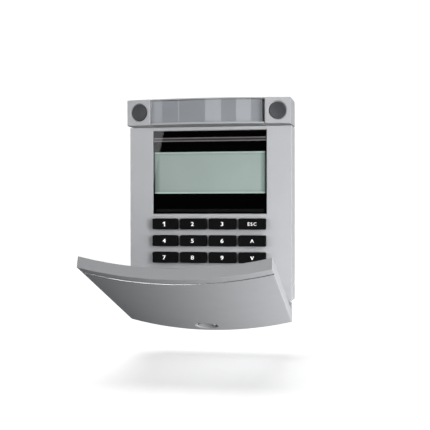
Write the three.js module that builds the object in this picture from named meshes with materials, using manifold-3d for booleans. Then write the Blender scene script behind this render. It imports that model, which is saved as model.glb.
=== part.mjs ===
// Alarm keypad panel for a wall: a moulded housing with a display window and sixteen keys, a bowed
// control bar with two push buttons above it, and a full-height bowed flap hinged under it.
//
// Units are millimetres. +Z is up, +X is to the right of someone facing the panel, and +Y points into
// the wall. The origin is on the wall plane, at the middle of the housing and bar together.
//
// Every fixed piece is drawn in face coordinates: x across, y the depth behind the flat front face
// (negative is in front of it), z the height above the housing's bottom edge.

import * as THREE from 'three';
import { mergeVertices } from 'three/addons/utils/BufferGeometryUtils.js';
import Module from 'manifold-3d';

const wasm = await Module();
wasm.setup();

// ---- driving dimensions ----

const WIDTH = 102; // housing and control bar
const BODY_HEIGHT = 107.6; // housing only
const BAR_HEIGHT = 16; // control bar
const BAR_SEAM = 0.5; // between housing and control bar
const FACE_DEPTH = 19.6; // wall to flat front face
const PROUD = 7; // corners of bar and flap, ahead of the face
const BOW = 6.2; // extra crown at the middle of bar and flap
const WALL = 2; // moulded wall
const FIT = 0.3; // between fitted pieces
const SLIP = 0.15; // between pieces pressed together
const EDGE = 0.5; // softened outer edges
const CORNER = 1.4; // corner radius of the outlines

const HOUSING_BACK = 12.5; // where the front housing ends and the wall base starts
const SILL_DROP = 6.4; // wall base below the housing's bottom edge
const SILL_FRONT = 11.6;
const SILL_HALF = 48.2;

const HINGE_DEPTH = 1.4;
const HINGE_HEIGHT = -3.8;
const HINGE_PIN_RADIUS = 1.5;
const PIN_COVER = 0.6; // flap wall that hides the end of each hinge pin
const FLAP_OPEN = THREE.MathUtils.degToRad(70); // how far the flap hangs open at rest
const FLAP_WIDTH = 101.6;
const FLAP_LENGTH = 114.5;
const FLAP_THICKNESS = 6.2;
const FLAP_TAIL = 3.3; // flap below the hinge axis when shut
const EMBLEM_HEIGHT = 8.2; // round button in the flap, above the hinge axis when shut
const PAD_HEIGHT = HINGE_HEIGHT + EMBLEM_HEIGHT; // pad behind it, above the housing's bottom edge

const WINDOW = { left: -36.1, right: 35.3, bottom: 53.8, top: 105.3 };
const SCREEN = { left: -35.5, right: 34.7, bottom: 66.1, top: 92.1 };

const KEY = { height: 6.65, pitchZ: 10.43, topEdge: 50.5, proud: 2.5 };
const KEY_COLUMNS = [
  { middle: -28.2, width: 15.9 },
  { middle: -10.3, width: 16.5 },
  { middle: 8.1, width: 16.9 },
  { middle: 26.6, width: 16.8 },
];
const KEY_TRAVEL = 1;
const KEY_ROWS = [
  ['key_1', 'key_2', 'key_3', 'key_esc'],
  ['key_4', 'key_5', 'key_6', 'key_up'],
  ['key_7', 'key_8', 'key_9', 'key_down'],
  ['key_star', 'key_0', 'key_hash', 'key_enter'],
];

const BUTTON_INNER = 35.5; // bar buttons reach from here to the bar's end
const BUTTON_LENS_X = 43.1;
const BUTTON_LENS_RADIUS = 5.6;
const BUTTON_BACK = 1; // rear edge of the button skirt
const BUTTON_TRAVEL = 1;
const PLINTH_FRONT = BUTTON_BACK + BUTTON_TRAVEL + FIT;
const PLINTH_BACK = 5.4;

const BOARD_FRONT = 5.7;
const BOARD_THICKNESS = 1.6;

// ---- values worked out from them ----

const HALF = WIDTH / 2;
const FLAP_HALF = FLAP_WIDTH / 2;
const BAR_BOTTOM = BODY_HEIGHT + BAR_SEAM;
const BAR_TOP = BAR_BOTTOM + BAR_HEIGHT;
const BAR_MIDDLE = (BAR_BOTTOM + BAR_TOP) / 2;
const BOW_RADIUS = (HALF * HALF + BOW * BOW) / (2 * BOW);
const BOARD_BACK = BOARD_FRONT + BOARD_THICKNESS;
const REAR_FLOOR = FACE_DEPTH - WALL; // inner face of the floors that lie on the wall

// ---- materials ----

function finish(color, roughness, metalness = 0, opacity = 1) {
  return new THREE.MeshStandardMaterial({
    color, roughness, metalness, opacity, transparent: opacity < 1,
  });
}

const GREY_PLASTIC = () => finish(0xb9babf, 0.5);
const BLACK_PLASTIC = () => finish(0x151517, 0.35);
const CLEAR_PLASTIC = () => finish(0xd8dcdf, 0.1, 0, 0.4);
const SMOKED_LENS = () => finish(0x4a4c52, 0.3);
const GREEN_GLASS = () => finish(0xa3b0aa, 0.25);
const WHITE_PLASTIC = () => finish(0xe8e8e4, 0.6);
const CARD = () => finish(0xa8a9ad, 0.8);
const SILICONE = () => finish(0x55575c, 0.8);
const CIRCUIT_BOARD = () => finish(0x1f5a35, 0.5);
const STEEL = () => finish(0xb4b6ba, 0.3, 1);
const COPPER = () => finish(0xb06a38, 0.4, 1);

// ---- solids: closed meshes that can be joined and cut ----

function toSolid(geometry) {
  geometry.deleteAttribute('normal');
  geometry.deleteAttribute('uv');
  const merged = mergeVertices(geometry, 1e-4);
  return new wasm.Manifold(new wasm.Mesh({
    numProp: 3,
    vertProperties: new Float32Array(merged.attributes.position.array),
    triVerts: new Uint32Array(merged.index.array),
  }));
}

function toGeometry(solid) {
  const mesh = solid.getMesh();
  const geometry = new THREE.BufferGeometry();
  geometry.setAttribute('position', new THREE.BufferAttribute(mesh.vertProperties, 3));
  geometry.setIndex(new THREE.BufferAttribute(mesh.triVerts, 1));
  geometry.computeVertexNormals();
  return geometry;
}

const join = (first, ...others) => others.reduce((whole, piece) => whole.add(piece), first);
const cut = (first, ...others) => others.reduce((whole, piece) => whole.subtract(piece), first);

// A plain block between two corners.
function block(x0, x1, y0, y1, z0, z1) {
  const geometry = new THREE.BoxGeometry(x1 - x0, y1 - y0, z1 - z0);
  geometry.translate((x0 + x1) / 2, (y0 + y1) / 2, (z0 + z1) / 2);
  return toSolid(geometry);
}

// A round bar or cone frustum along one axis, from one place to another.
function rod(axis, at, from, to, radius, { endRadius = radius, sides = 16 } = {}) {
  const geometry = new THREE.CylinderGeometry(endRadius, radius, to - from, sides);
  geometry.translate(0, (from + to) / 2, 0);
  if (axis === 'x') geometry.rotateZ(-Math.PI / 2);
  if (axis === 'z') geometry.rotateX(Math.PI / 2);
  geometry.translate(...at);
  return toSolid(geometry);
}

// Outline of a rectangle with round corners, in the plane of the front face.
function roundedOutline(x0, x1, z0, z1, radius) {
  const outline = new THREE.Shape();
  outline.absarc(x1 - radius, z0 + radius, radius, -Math.PI / 2, 0);
  outline.absarc(x1 - radius, z1 - radius, radius, 0, Math.PI / 2);
  outline.absarc(x0 + radius, z1 - radius, radius, Math.PI / 2, Math.PI);
  outline.absarc(x0 + radius, z0 + radius, radius, Math.PI, 1.5 * Math.PI);
  outline.closePath();
  return outline;
}

// A plate with that outline between two depths, its front and rear edges softened by the bevel.
function plate(x0, x1, z0, z1, radius, front, back, { bevel = 0, arcSteps = 4, bevelSteps = 2 } = {}) {
  const geometry = new THREE.ExtrudeGeometry(roundedOutline(x0, x1, z0, z1, radius), {
    depth: back - front - 2 * bevel,
    curveSegments: arcSteps,
    bevelEnabled: bevel > 0,
    bevelThickness: bevel,
    bevelSize: bevel,
    bevelOffset: -bevel,
    bevelSegments: bevelSteps,
  });
  geometry.rotateX(Math.PI / 2);
  geometry.translate(0, back - bevel, 0);
  return toSolid(geometry);
}

// How far the bowed surface stands ahead of its own corners.
function crown(x) {
  return Math.sqrt(BOW_RADIUS * BOW_RADIUS - x * x) - (BOW_RADIUS - BOW);
}

// A bowed slab: its front follows the crown at the given depth, its rear is parallel or flat.
function bowed(x0, x1, front, z0, z1, { thickness = 0, flatBack = null, steps = 28 } = {}) {
  const outline = new THREE.Shape();
  const places = Array.from({ length: steps + 1 }, (_, i) => x0 + ((x1 - x0) * i) / steps);
  const frontEdge = places.map((x) => new THREE.Vector2(x, front - crown(x)));
  const backEdge = flatBack === null
    ? places.map((x) => new THREE.Vector2(x, front + thickness - crown(x)))
    : [new THREE.Vector2(x0, flatBack), new THREE.Vector2(x1, flatBack)];
  outline.setFromPoints([...frontEdge, ...backEdge.reverse()]);
  const geometry = new THREE.ExtrudeGeometry(outline, { depth: z1 - z0, bevelEnabled: false });
  geometry.translate(0, 0, z0);
  return toSolid(geometry);
}

// A straight bar along X whose section is given as [depth, height] corners.
function extrusionAlongX(corners, x0, x1) {
  const outline = new THREE.Shape(corners.map(([y, z]) => new THREE.Vector2(y, z)));
  const geometry = new THREE.ExtrudeGeometry(outline, { depth: x1 - x0, bevelEnabled: false });
  // the section's first axis becomes Y, its second Z, and the sweep X
  geometry.applyMatrix4(new THREE.Matrix4().makeBasis(
    new THREE.Vector3(0, 1, 0), new THREE.Vector3(0, 0, 1), new THREE.Vector3(1, 0, 0),
  ));
  geometry.translate(x0, 0, 0);
  return toSolid(geometry);
}

// A slot with round ends, cut from front to back.
function slotCutter(x, z, halfLength, radius, front, back, upright) {
  const reachX = radius + (upright ? 0 : halfLength);
  const reachZ = radius + (upright ? halfLength : 0);
  return plate(x - reachX, x + reachX, z - reachZ, z + reachZ, radius * 0.999, front, back);
}

// A cheese-head screw along one axis, its head at "from" and its tip at "to", with a cross recess.
function screw(axis, at, from, to, shankRadius, headRadius, headHeight) {
  const inward = Math.sign(to - from);
  const neck = from + inward * headHeight;
  const headEnds = [Math.min(from, neck), Math.max(from, neck)];
  const shankEnds = [Math.min(neck, to), Math.max(neck, to)];
  const overlap = 0.2;
  shankEnds[inward > 0 ? 0 : 1] -= inward * overlap;
  const body = join(
    rod(axis, at, headEnds[0], headEnds[1], headRadius),
    rod(axis, at, shankEnds[0], shankEnds[1], shankRadius, { sides: 12 }),
  );
  const depth = headHeight * 0.6;
  const recessEnds = [from - inward, from + inward * depth].sort((a, b) => a - b);
  const long = headRadius * 0.6;
  const thin = headRadius * 0.14;
  const [x, y, z] = at;
  if (axis === 'y') {
    return cut(
      body,
      block(x - long, x + long, ...recessEnds, z - thin, z + thin),
      block(x - thin, x + thin, ...recessEnds, z - long, z + long),
    );
  }
  return cut(
    body,
    block(x - long, x + long, y - thin, y + thin, ...recessEnds),
    block(x - thin, x + thin, y - long, y + long, ...recessEnds),
  );
}

// ---- the two mouldings that make the housing ----

const BOARD_SCREWS = [[-44, 7], [44, 7], [-44, 100.6], [44, 100.6]]; // [x, z]
const LUG = { inner: 43.8, outer: 48.4, radius: 2.9 };
const SIDE_DIMPLE = { bottom: 7.4, top: 15, depth: 0.5, front: 10.5, back: FACE_DEPTH - 1 };
const LOCK_SCREW_DEPTH = 15.4;
const LEDGE_FRONT = 1.2; // shelf that the display window rests on
const LEDGE_BACK = 3.2;
const PAD_RADIUS = 2.6;
const PAD_TRAVEL = 0.6;

function keyRowMiddle(row) {
  return KEY.topEdge - KEY.height / 2 - row * KEY.pitchZ;
}

// Shallow recesses low on both sides, across the joint between housing and base.
function sideDimples() {
  const { bottom, top, depth, front, back } = SIDE_DIMPLE;
  const right = block(HALF - depth, HALF + 1, front, back, bottom, top);
  const left = block(-HALF - 1, -HALF + depth, front, back, bottom, top);
  return join(right, left);
}

// Rounded tab under the housing that carries one hinge pin.
function hingeLug(side) {
  const xs = [side * LUG.inner, side * LUG.outer].sort((a, b) => a - b);
  const centre = [0, HINGE_DEPTH, HINGE_HEIGHT];
  return cut(
    join(
      rod('x', centre, xs[0], xs[1], LUG.radius),
      block(xs[0], xs[1], HINGE_DEPTH - 1.2, HINGE_DEPTH + 2.8, HINGE_HEIGHT, WALL / 2),
    ),
    rod('x', centre, xs[0] - 1, xs[1] + 1, HINGE_PIN_RADIUS + 0.08, { sides: 16 }),
  );
}

function frontHousing() {
  const outer = cut(
    plate(-HALF, HALF, 0, BODY_HEIGHT, CORNER, 0, 2 * HOUSING_BACK, { bevel: EDGE }),
    block(-HALF - 1, HALF + 1, HOUSING_BACK, 2 * HOUSING_BACK + 1, -1, BODY_HEIGHT + 1),
  );
  const inside = block(
    -HALF + WALL, HALF - WALL, WALL, HOUSING_BACK + 1, WALL, BODY_HEIGHT - WALL,
  );
  const ledge = block(
    WINDOW.left - 2, WINDOW.right + 2, WALL / 2, LEDGE_BACK,
    WINDOW.bottom - 1.4, BODY_HEIGHT - WALL / 2,
  );
  const windowSeat = block(
    WINDOW.left - SLIP, WINDOW.right + SLIP, -1, LEDGE_FRONT,
    WINDOW.bottom - SLIP, WINDOW.top + SLIP,
  );
  const windowOpening = block(
    WINDOW.left + 0.2, WINDOW.right - 0.2, -1, LEDGE_BACK + 1,
    WINDOW.bottom + 3, WINDOW.top - 3,
  );
  let housing = cut(join(cut(outer, inside), ledge), windowSeat, windowOpening);

  const reachZ = KEY.height / 2 + SLIP;
  for (let row = 0; row < KEY_ROWS.length; row += 1) {
    for (const { middle: x, width } of KEY_COLUMNS) {
      const reachX = width / 2 + SLIP;
      const z = keyRowMiddle(row);
      const opening = plate(x - reachX, x + reachX, z - reachZ, z + reachZ, 0.9, -1, WALL + 1);
      housing = cut(housing, opening);
    }
  }
  for (const [x, z] of BOARD_SCREWS) {
    const post = rod('y', [x, 0, z], WALL / 2, BOARD_FRONT - FIT, 3);
    const pilot = rod('y', [x, 0, z], WALL, BOARD_FRONT, 1.15, { sides: 12 });
    housing = cut(join(housing, post), pilot);
  }
  const lockTab = join(
    block(-4, 4, BOARD_BACK + 2 * FIT, 10, WALL / 2, 8),
    block(-4, 4, BOARD_BACK + 2 * FIT, LOCK_SCREW_DEPTH + 1.9, 4.2, 8),
  );
  const lockPilot = rod('z', [0, LOCK_SCREW_DEPTH, 0], 3, 9, 1.45, { sides: 12 });
  const padHole = rod('y', [0, 0, PAD_HEIGHT], -1, BOARD_FRONT, PAD_RADIUS + SLIP);
  return cut(
    join(housing, hingeLug(-1), hingeLug(1), cut(lockTab, lockPilot)), sideDimples(), padHole,
  );
}

const WALL_SLOTS = [
  { x: -32, z: 84, upright: true },
  { x: 32, z: 84, upright: true },
  { x: -32, z: 22, upright: false },
  { x: 32, z: 22, upright: false },
];
const CABLE_OPENING = { halfWidth: 15, bottom: 28, top: 48 };
const TAMPER = { x: 26, z: 62 };

function wallBase() {
  const rimFront = HOUSING_BACK + FIT;
  const rim = plate(-HALF, HALF, 0, BODY_HEIGHT, CORNER, rimFront, FACE_DEPTH);
  const inside = block(
    -HALF + WALL, HALF - WALL, rimFront - 1, REAR_FLOOR, WALL, BODY_HEIGHT - WALL,
  );
  const tongueInset = WALL + FIT;
  const tongue = cut(
    block(
      -HALF + tongueInset, HALF - tongueInset, rimFront - 2.4, rimFront + 1,
      tongueInset, BODY_HEIGHT - tongueInset,
    ),
    block(
      -HALF + tongueInset + 1.2, HALF - tongueInset - 1.2, rimFront - 3, rimFront + 2,
      tongueInset + 1.2, BODY_HEIGHT - tongueInset - 1.2,
    ),
    block(-6, 6, rimFront - 3, rimFront, 0, 10),
  );
  // the tongue meets the rim through a thin shoulder
  const shoulder = cut(
    block(-HALF + 1, HALF - 1, rimFront + 0.4, rimFront + 1.4, 1, BODY_HEIGHT - 1),
    block(
      -HALF + tongueInset + 1.2, HALF - tongueInset - 1.2, rimFront, rimFront + 2,
      tongueInset + 1.2, BODY_HEIGHT - tongueInset - 1.2,
    ),
    block(-6, 6, rimFront, rimFront + 2, WALL, 10),
  );
  const sill = cut(
    extrusionAlongX([
      [SILL_FRONT, -0.4], [SILL_FRONT, -4.2], [SILL_FRONT + 0.7, -5.7], [SILL_FRONT + 2.2, -SILL_DROP],
      [FACE_DEPTH, -SILL_DROP], [FACE_DEPTH, WALL], [rimFront, WALL], [rimFront, -0.4],
    ].reverse(), -SILL_HALF, SILL_HALF),
    block(
      -SILL_HALF + WALL, SILL_HALF - WALL, SILL_FRONT + WALL, REAR_FLOOR, -SILL_DROP + WALL, 0,
    ),
  );
  let base = join(cut(rim, inside), shoulder, tongue, sill);
  for (const { x, z, upright } of WALL_SLOTS) {
    base = cut(base, slotCutter(x, z, 2.6, 2.2, REAR_FLOOR - 1, FACE_DEPTH + 1, upright));
  }
  const { halfWidth, bottom, top } = CABLE_OPENING;
  const screwHead = rod('z', [0, LOCK_SCREW_DEPTH, 0], -SILL_DROP - 1, -SILL_DROP + WALL + 0.4, 2.7);
  const screwWay = rod('z', [0, LOCK_SCREW_DEPTH, 0], -SILL_DROP, WALL + 1, 1.7, { sides: 12 });
  const stiffener = join(
    block(-47, 47, REAR_FLOOR - 1.6, REAR_FLOOR + 1, 52, 53.2),
    block(-47, 47, REAR_FLOOR - 1.6, REAR_FLOOR + 1, 96, 97.2),
    block(-47, 47, REAR_FLOOR - 1.6, REAR_FLOOR + 1, 12, 13.2),
  );
  // break-out panels for cables that come along the wall
  const breakouts = join(
    block(-14, -2, FACE_DEPTH - 0.9, FACE_DEPTH + 1, 99, 104),
    block(2, 14, FACE_DEPTH - 0.9, FACE_DEPTH + 1, 99, 104),
  );
  return cut(
    join(base, stiffener),
    plate(-halfWidth, halfWidth, bottom, top, 2, REAR_FLOOR - 1, FACE_DEPTH + 1),
    rod('y', [TAMPER.x, 0, TAMPER.z], REAR_FLOOR - 1, FACE_DEPTH + 1, 2.2),
    sideDimples(), screwHead, screwWay, breakouts,
  );
}

// ---- display ----

function windowLens() {
  return plate(
    WINDOW.left, WINDOW.right, WINDOW.bottom, WINDOW.top, 0.3, 0.05, 0.6, { bevel: 0.1 },
  );
}

function displayMask() {
  const margin = 0.1;
  return cut(
    block(
      WINDOW.left + margin, WINDOW.right - margin, 0.7, 0.95,
      WINDOW.bottom + margin, WINDOW.top - margin,
    ),
    block(SCREEN.left, SCREEN.right, 0.5, 2, SCREEN.bottom, SCREEN.top),
  );
}

const LCD_MARGIN = 1.6; // glass hidden behind the mask, above and below the screen

function lcdGlass() {
  return block(
    SCREEN.left, SCREEN.right, 1.4, 3.2,
    SCREEN.bottom - LCD_MARGIN, SCREEN.top + LCD_MARGIN,
  );
}

function backlightGuide() {
  return block(
    SCREEN.left, SCREEN.right, 3.5, BOARD_FRONT - SLIP,
    SCREEN.bottom - LCD_MARGIN, SCREEN.top + LCD_MARGIN,
  );
}

function lcdHolder() {
  const left = SCREEN.left - SLIP;
  const right = SCREEN.right + SLIP;
  return cut(
    block(
      left - 2.4, right + 2.4, LEDGE_BACK + SLIP, BOARD_FRONT - SLIP,
      SCREEN.bottom - LCD_MARGIN - 2.4, SCREEN.top + LCD_MARGIN + 2.4,
    ),
    block(
      left, right, LEDGE_BACK, BOARD_FRONT,
      SCREEN.bottom - LCD_MARGIN - SLIP, SCREEN.top + LCD_MARGIN + SLIP,
    ),
  );
}

// ---- keys ----

const FLANGE_FRONT = WALL + FIT;
const FLANGE_BACK = FLANGE_FRONT + 0.7;
const MAT_BUMP_TOP = FLANGE_BACK + KEY_TRAVEL + 0.1;
const MAT_FRONT = MAT_BUMP_TOP + 0.4;

// A key cap with the flange that keeps it behind the front wall.
function key(width) {
  const x = width / 2;
  const z = KEY.height / 2;
  const cap = plate(-x, x, -z, z, 0.9, -KEY.proud, FLANGE_BACK, {
    bevel: 0.4, arcSteps: 3, bevelSteps: 1,
  });
  const flange = block(-x, x, FLANGE_FRONT, FLANGE_BACK, -z - 1.1, z + 1.1);
  return join(cap, flange);
}

// The rubber mat under the keys, its bumps drawn at the height they have when pressed.
function keypadMat() {
  const first = KEY_COLUMNS[0];
  const last = KEY_COLUMNS[KEY_COLUMNS.length - 1];
  const left = first.middle - first.width / 2 - 2;
  const right = last.middle + last.width / 2 + 2;
  const top = KEY.topEdge + 2;
  const bottom = keyRowMiddle(KEY_ROWS.length - 1) - KEY.height / 2 - 2;
  let mat = block(left, right, MAT_FRONT, BOARD_FRONT - SLIP, bottom, top);
  for (let row = 0; row < KEY_ROWS.length; row += 1) {
    for (const { middle } of KEY_COLUMNS) {
      const at = [middle, 0, keyRowMiddle(row)];
      mat = join(mat, rod('y', at, MAT_BUMP_TOP, MAT_FRONT + 0.2, 2, { endRadius: 2.6, sides: 8 }));
    }
  }
  return mat;
}

// ---- electronics ----

function mainBoard() {
  let board = block(-47, 47, BOARD_FRONT, BOARD_BACK, 3.4, 103.4);
  for (const [x, z] of BOARD_SCREWS) {
    board = cut(board, rod('y', [x, 0, z], BOARD_FRONT - 1, BOARD_BACK + 1, 1.4, { sides: 16 }));
  }
  return board;
}

function boardScrew(x, z) {
  return screw('y', [x, 0, z], BOARD_BACK + FIT + 1.5, WALL + 1, 1, 2.4, 1.5);
}

// Flat wound loop of the card reader.
function readerCoil() {
  const front = BOARD_BACK + SLIP;
  return cut(
    plate(-40, 40, 12, 58, 4, front, front + 1.2),
    plate(-37.4, 37.4, 14.6, 55.4, 2.4, front - 1, front + 2),
  );
}

function buzzer() {
  const at = [-28, 0, 82];
  const front = BOARD_BACK + SLIP;
  return cut(
    rod('y', at, front, front + 5.2, 6.5, { sides: 28 }),
    rod('y', at, front + 4.2, front + 6, 1, { sides: 12 }),
  );
}

const TERMINAL_WAYS = 4;

function terminalBlock() {
  const pitch = 5;
  const half = (TERMINAL_WAYS * pitch) / 2;
  const front = BOARD_BACK + SLIP;
  let body = block(-half, half, front, front + 8, 30, 38);
  for (let way = 0; way < TERMINAL_WAYS; way += 1) {
    const x = -half + pitch * (way + 0.5);
    body = cut(
      body,
      rod('y', [x, 0, 34.5], front + 5.4, front + 9, 1.8, { sides: 12 }),
      block(x - 1.5, x + 1.5, front + 1.4, front + 4.6, 29, 35),
    );
  }
  return body;
}

function controllerChip() {
  return block(4, 16, BOARD_BACK + SLIP, BOARD_BACK + SLIP + 1.4, 70, 82);
}

function busHeader() {
  const front = BOARD_BACK + SLIP;
  return cut(
    block(-7, 7, front, front + 6, 94, 99),
    block(-5.8, 5.8, front + 1.4, front + 7, 95.2, 97.8),
  );
}

function tamperSwitch() {
  const front = BOARD_BACK + SLIP;
  const { x, z } = TAMPER;
  return cut(
    block(x - 3.2, x + 3.2, front, front + 4, z - 3.2, z + 3.2),
    rod('y', [x, 0, z], front + 1, front + 5, 1.9),
  );
}

// Feels for the wall behind the panel and moves out when the panel is pulled away.
function tamperPlunger() {
  const { x, z } = TAMPER;
  return rod('y', [x, 0, z], BOARD_BACK + SLIP + 1.4, FACE_DEPTH - 0.1, 1.5);
}

// Pad in the face that the flap's round button reaches when the flap is shut.
function activationPad() {
  return join(
    rod('y', [0, 0, PAD_HEIGHT], 0, FLANGE_BACK, PAD_RADIUS),
    block(-4.2, 4.2, FLANGE_FRONT, FLANGE_BACK, WALL + FIT, PAD_HEIGHT + 2.4),
  );
}

function activationSwitch() {
  const front = FLANGE_BACK + PAD_TRAVEL + FIT;
  return block(-2.2, 2.2, front, BOARD_FRONT - SLIP, PAD_HEIGHT - 0.8, PAD_HEIGHT + 2.2);
}

function hingePin(side) {
  const ends = [side * (LUG.inner + 0.8), side * (FLAP_HALF - PIN_COVER - FIT)].sort((a, b) => a - b);
  return rod('x', [0, HINGE_DEPTH, HINGE_HEIGHT], ends[0], ends[1], HINGE_PIN_RADIUS, { sides: 16 });
}

function lockScrew() {
  return screw('z', [0, LOCK_SCREW_DEPTH, 0], -SILL_DROP + 0.3, 7.6, 1.3, 2.4, 1.6);
}

// ---- control bar ----

const SEGMENT_BOARD_FRONT = 12.4;
const LABEL = { left: -34.9, right: 33.6, bottom: BAR_BOTTOM + 1.3, top: BAR_TOP - 0.9 };
const LABEL_SETBACK = 0.5; // centre of the bar behind its buttons
const POST_X = 37.6; // guide post of a bar button
const LIGHT_GUIDE_RADIUS = 2.8;

function segmentBase() {
  return cut(
    plate(-HALF, HALF, BAR_BOTTOM, BAR_TOP, CORNER, PLINTH_BACK + FIT, FACE_DEPTH),
    block(
      -HALF + WALL, HALF - WALL, PLINTH_BACK, REAR_FLOOR, BAR_BOTTOM + WALL, BAR_TOP - WALL,
    ),
    slotCutter(-24, BAR_MIDDLE, 2.6, 2.2, REAR_FLOOR - 1, FACE_DEPTH + 1, false),
    slotCutter(24, BAR_MIDDLE, 2.6, 2.2, REAR_FLOOR - 1, FACE_DEPTH + 1, false),
  );
}

function segmentFrame() {
  const half = BUTTON_INNER - FIT;
  const surface = -PROUD + LABEL_SETBACK;
  const plinth = plate(-HALF, HALF, BAR_BOTTOM, BAR_TOP, CORNER, PLINTH_FRONT, PLINTH_BACK);
  const nose = bowed(-half, half, surface, BAR_BOTTOM, BAR_TOP, { flatBack: PLINTH_FRONT + 1 });
  const hollow = bowed(
    -half + WALL, half - WALL, surface + 4, BAR_BOTTOM + WALL, BAR_TOP - WALL,
    { flatBack: PLINTH_BACK + 1 },
  );
  const labelSeat = bowed(
    LABEL.left - SLIP, LABEL.right + 1.4, surface - 2, LABEL.bottom - SLIP, LABEL.top + SLIP,
    { thickness: 4 },
  );
  // a tool reaches in here to free the label cover
  const releaseSlot = block(
    LABEL.right + 0.3, LABEL.right + 1.4, surface - BOW, PLINTH_FRONT, LABEL.bottom, LABEL.top,
  );
  let frame = cut(join(plinth, nose), hollow, labelSeat, releaseSlot);
  for (const side of [-1, 1]) {
    frame = cut(
      frame,
      rod('y', [side * BUTTON_LENS_X, 0, BAR_MIDDLE], 0, PLINTH_BACK + 1, LIGHT_GUIDE_RADIUS + 0.6),
      rod('y', [side * POST_X, 0, BAR_MIDDLE], 0, PLINTH_BACK + 1, 1.6, { sides: 12 }),
    );
  }
  return frame;
}

function labelCard() {
  return bowed(
    LABEL.left, LABEL.right, -PROUD + LABEL_SETBACK + 1.55, LABEL.bottom, LABEL.top,
    { thickness: 0.3 },
  );
}

function labelCover() {
  return bowed(
    LABEL.left, LABEL.right, -PROUD + LABEL_SETBACK + 0.1, LABEL.bottom, LABEL.top,
    { thickness: 1.3 },
  );
}

// A cutter or plug along the button's own face normal, measured from the bowed surface.
function alongButtonNormal(side, from, to, radius, options) {
  const tilt = Math.asin(BUTTON_LENS_X / BOW_RADIUS);
  const geometry = new THREE.CylinderGeometry(
    options?.endRadius ?? radius, radius, to - from, options?.sides ?? 24,
  );
  geometry.translate(0, (from + to) / 2, 0);
  geometry.rotateZ(side * tilt);
  geometry.translate(side * BUTTON_LENS_X, -PROUD - crown(BUTTON_LENS_X), BAR_MIDDLE);
  return toSolid(geometry);
}

function barButton(side) {
  const xs = [side * BUTTON_INNER, side * HALF].sort((a, b) => a - b);
  const skin = bowed(xs[0], xs[1], -PROUD, BAR_BOTTOM, BAR_TOP, { flatBack: BUTTON_BACK, steps: 8 });
  const hollow = bowed(
    xs[0] + WALL, xs[1] - WALL, -PROUD + WALL, BAR_BOTTOM + WALL, BAR_TOP - WALL,
    { flatBack: BUTTON_BACK + 1, steps: 8 },
  );
  const post = rod('y', [side * POST_X, 0, BAR_MIDDLE], -PROUD, 8, 1.2, { sides: 12 });
  return cut(
    join(cut(skin, hollow), post),
    alongButtonNormal(side, -3, WALL + 3, BUTTON_LENS_RADIUS + SLIP),
    alongButtonNormal(side, -0.2, 0.9, BUTTON_LENS_RADIUS + 1.1, {
      endRadius: BUTTON_LENS_RADIUS + SLIP,
    }),
  );
}

// Round lens in a bar button, with the rod that brings the light forward from the board.
function statusLens(side) {
  const dish = alongButtonNormal(side, 0, 0.9, BUTTON_LENS_RADIUS - 0.6, {
    endRadius: BUTTON_LENS_RADIUS - 2.6,
  });
  return join(
    cut(alongButtonNormal(side, 0.4, 3.2, BUTTON_LENS_RADIUS), dish),
    rod('y', [side * BUTTON_LENS_X, 0, BAR_MIDDLE], -PROUD, 9.2, LIGHT_GUIDE_RADIUS),
  );
}

function segmentBoard() {
  return block(
    -47, 47, SEGMENT_BOARD_FRONT, SEGMENT_BOARD_FRONT + 1.2, BAR_BOTTOM + WALL + 0.4,
    BAR_TOP - WALL - 0.4,
  );
}

function segmentSwitch(side) {
  const back = SEGMENT_BOARD_FRONT - SLIP;
  const x = side * POST_X;
  return join(
    block(x - 2.2, x + 2.2, back - 2, back, BAR_MIDDLE - 3, BAR_MIDDLE + 3),
    rod('y', [x, 0, BAR_MIDDLE], back - 2.9, back - 1, 1.5, { sides: 12 }),
  );
}

function segmentLed(side) {
  const back = SEGMENT_BOARD_FRONT - SLIP;
  const x = side * BUTTON_LENS_X;
  return block(x - 1.8, x + 1.8, back - 1.6, back, BAR_MIDDLE - 1.8, BAR_MIDDLE + 1.8);
}

// ---- flap, drawn shut: y is the depth behind the hinge axis, z the height above it ----

const FLAP_FRONT = -PROUD - HINGE_DEPTH; // outer corners, relative to the hinge axis
const FLAP_BACK = FLAP_FRONT + FLAP_THICKNESS;
const FLAP_TOP = FLAP_LENGTH - FLAP_TAIL;
const GROOVE_FROM_END = 8.6;
const GROOVE_HALF = 1;
const EMBLEM_RADIUS = 5.4;
const LINER_THICKNESS = 1.2;

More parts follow.
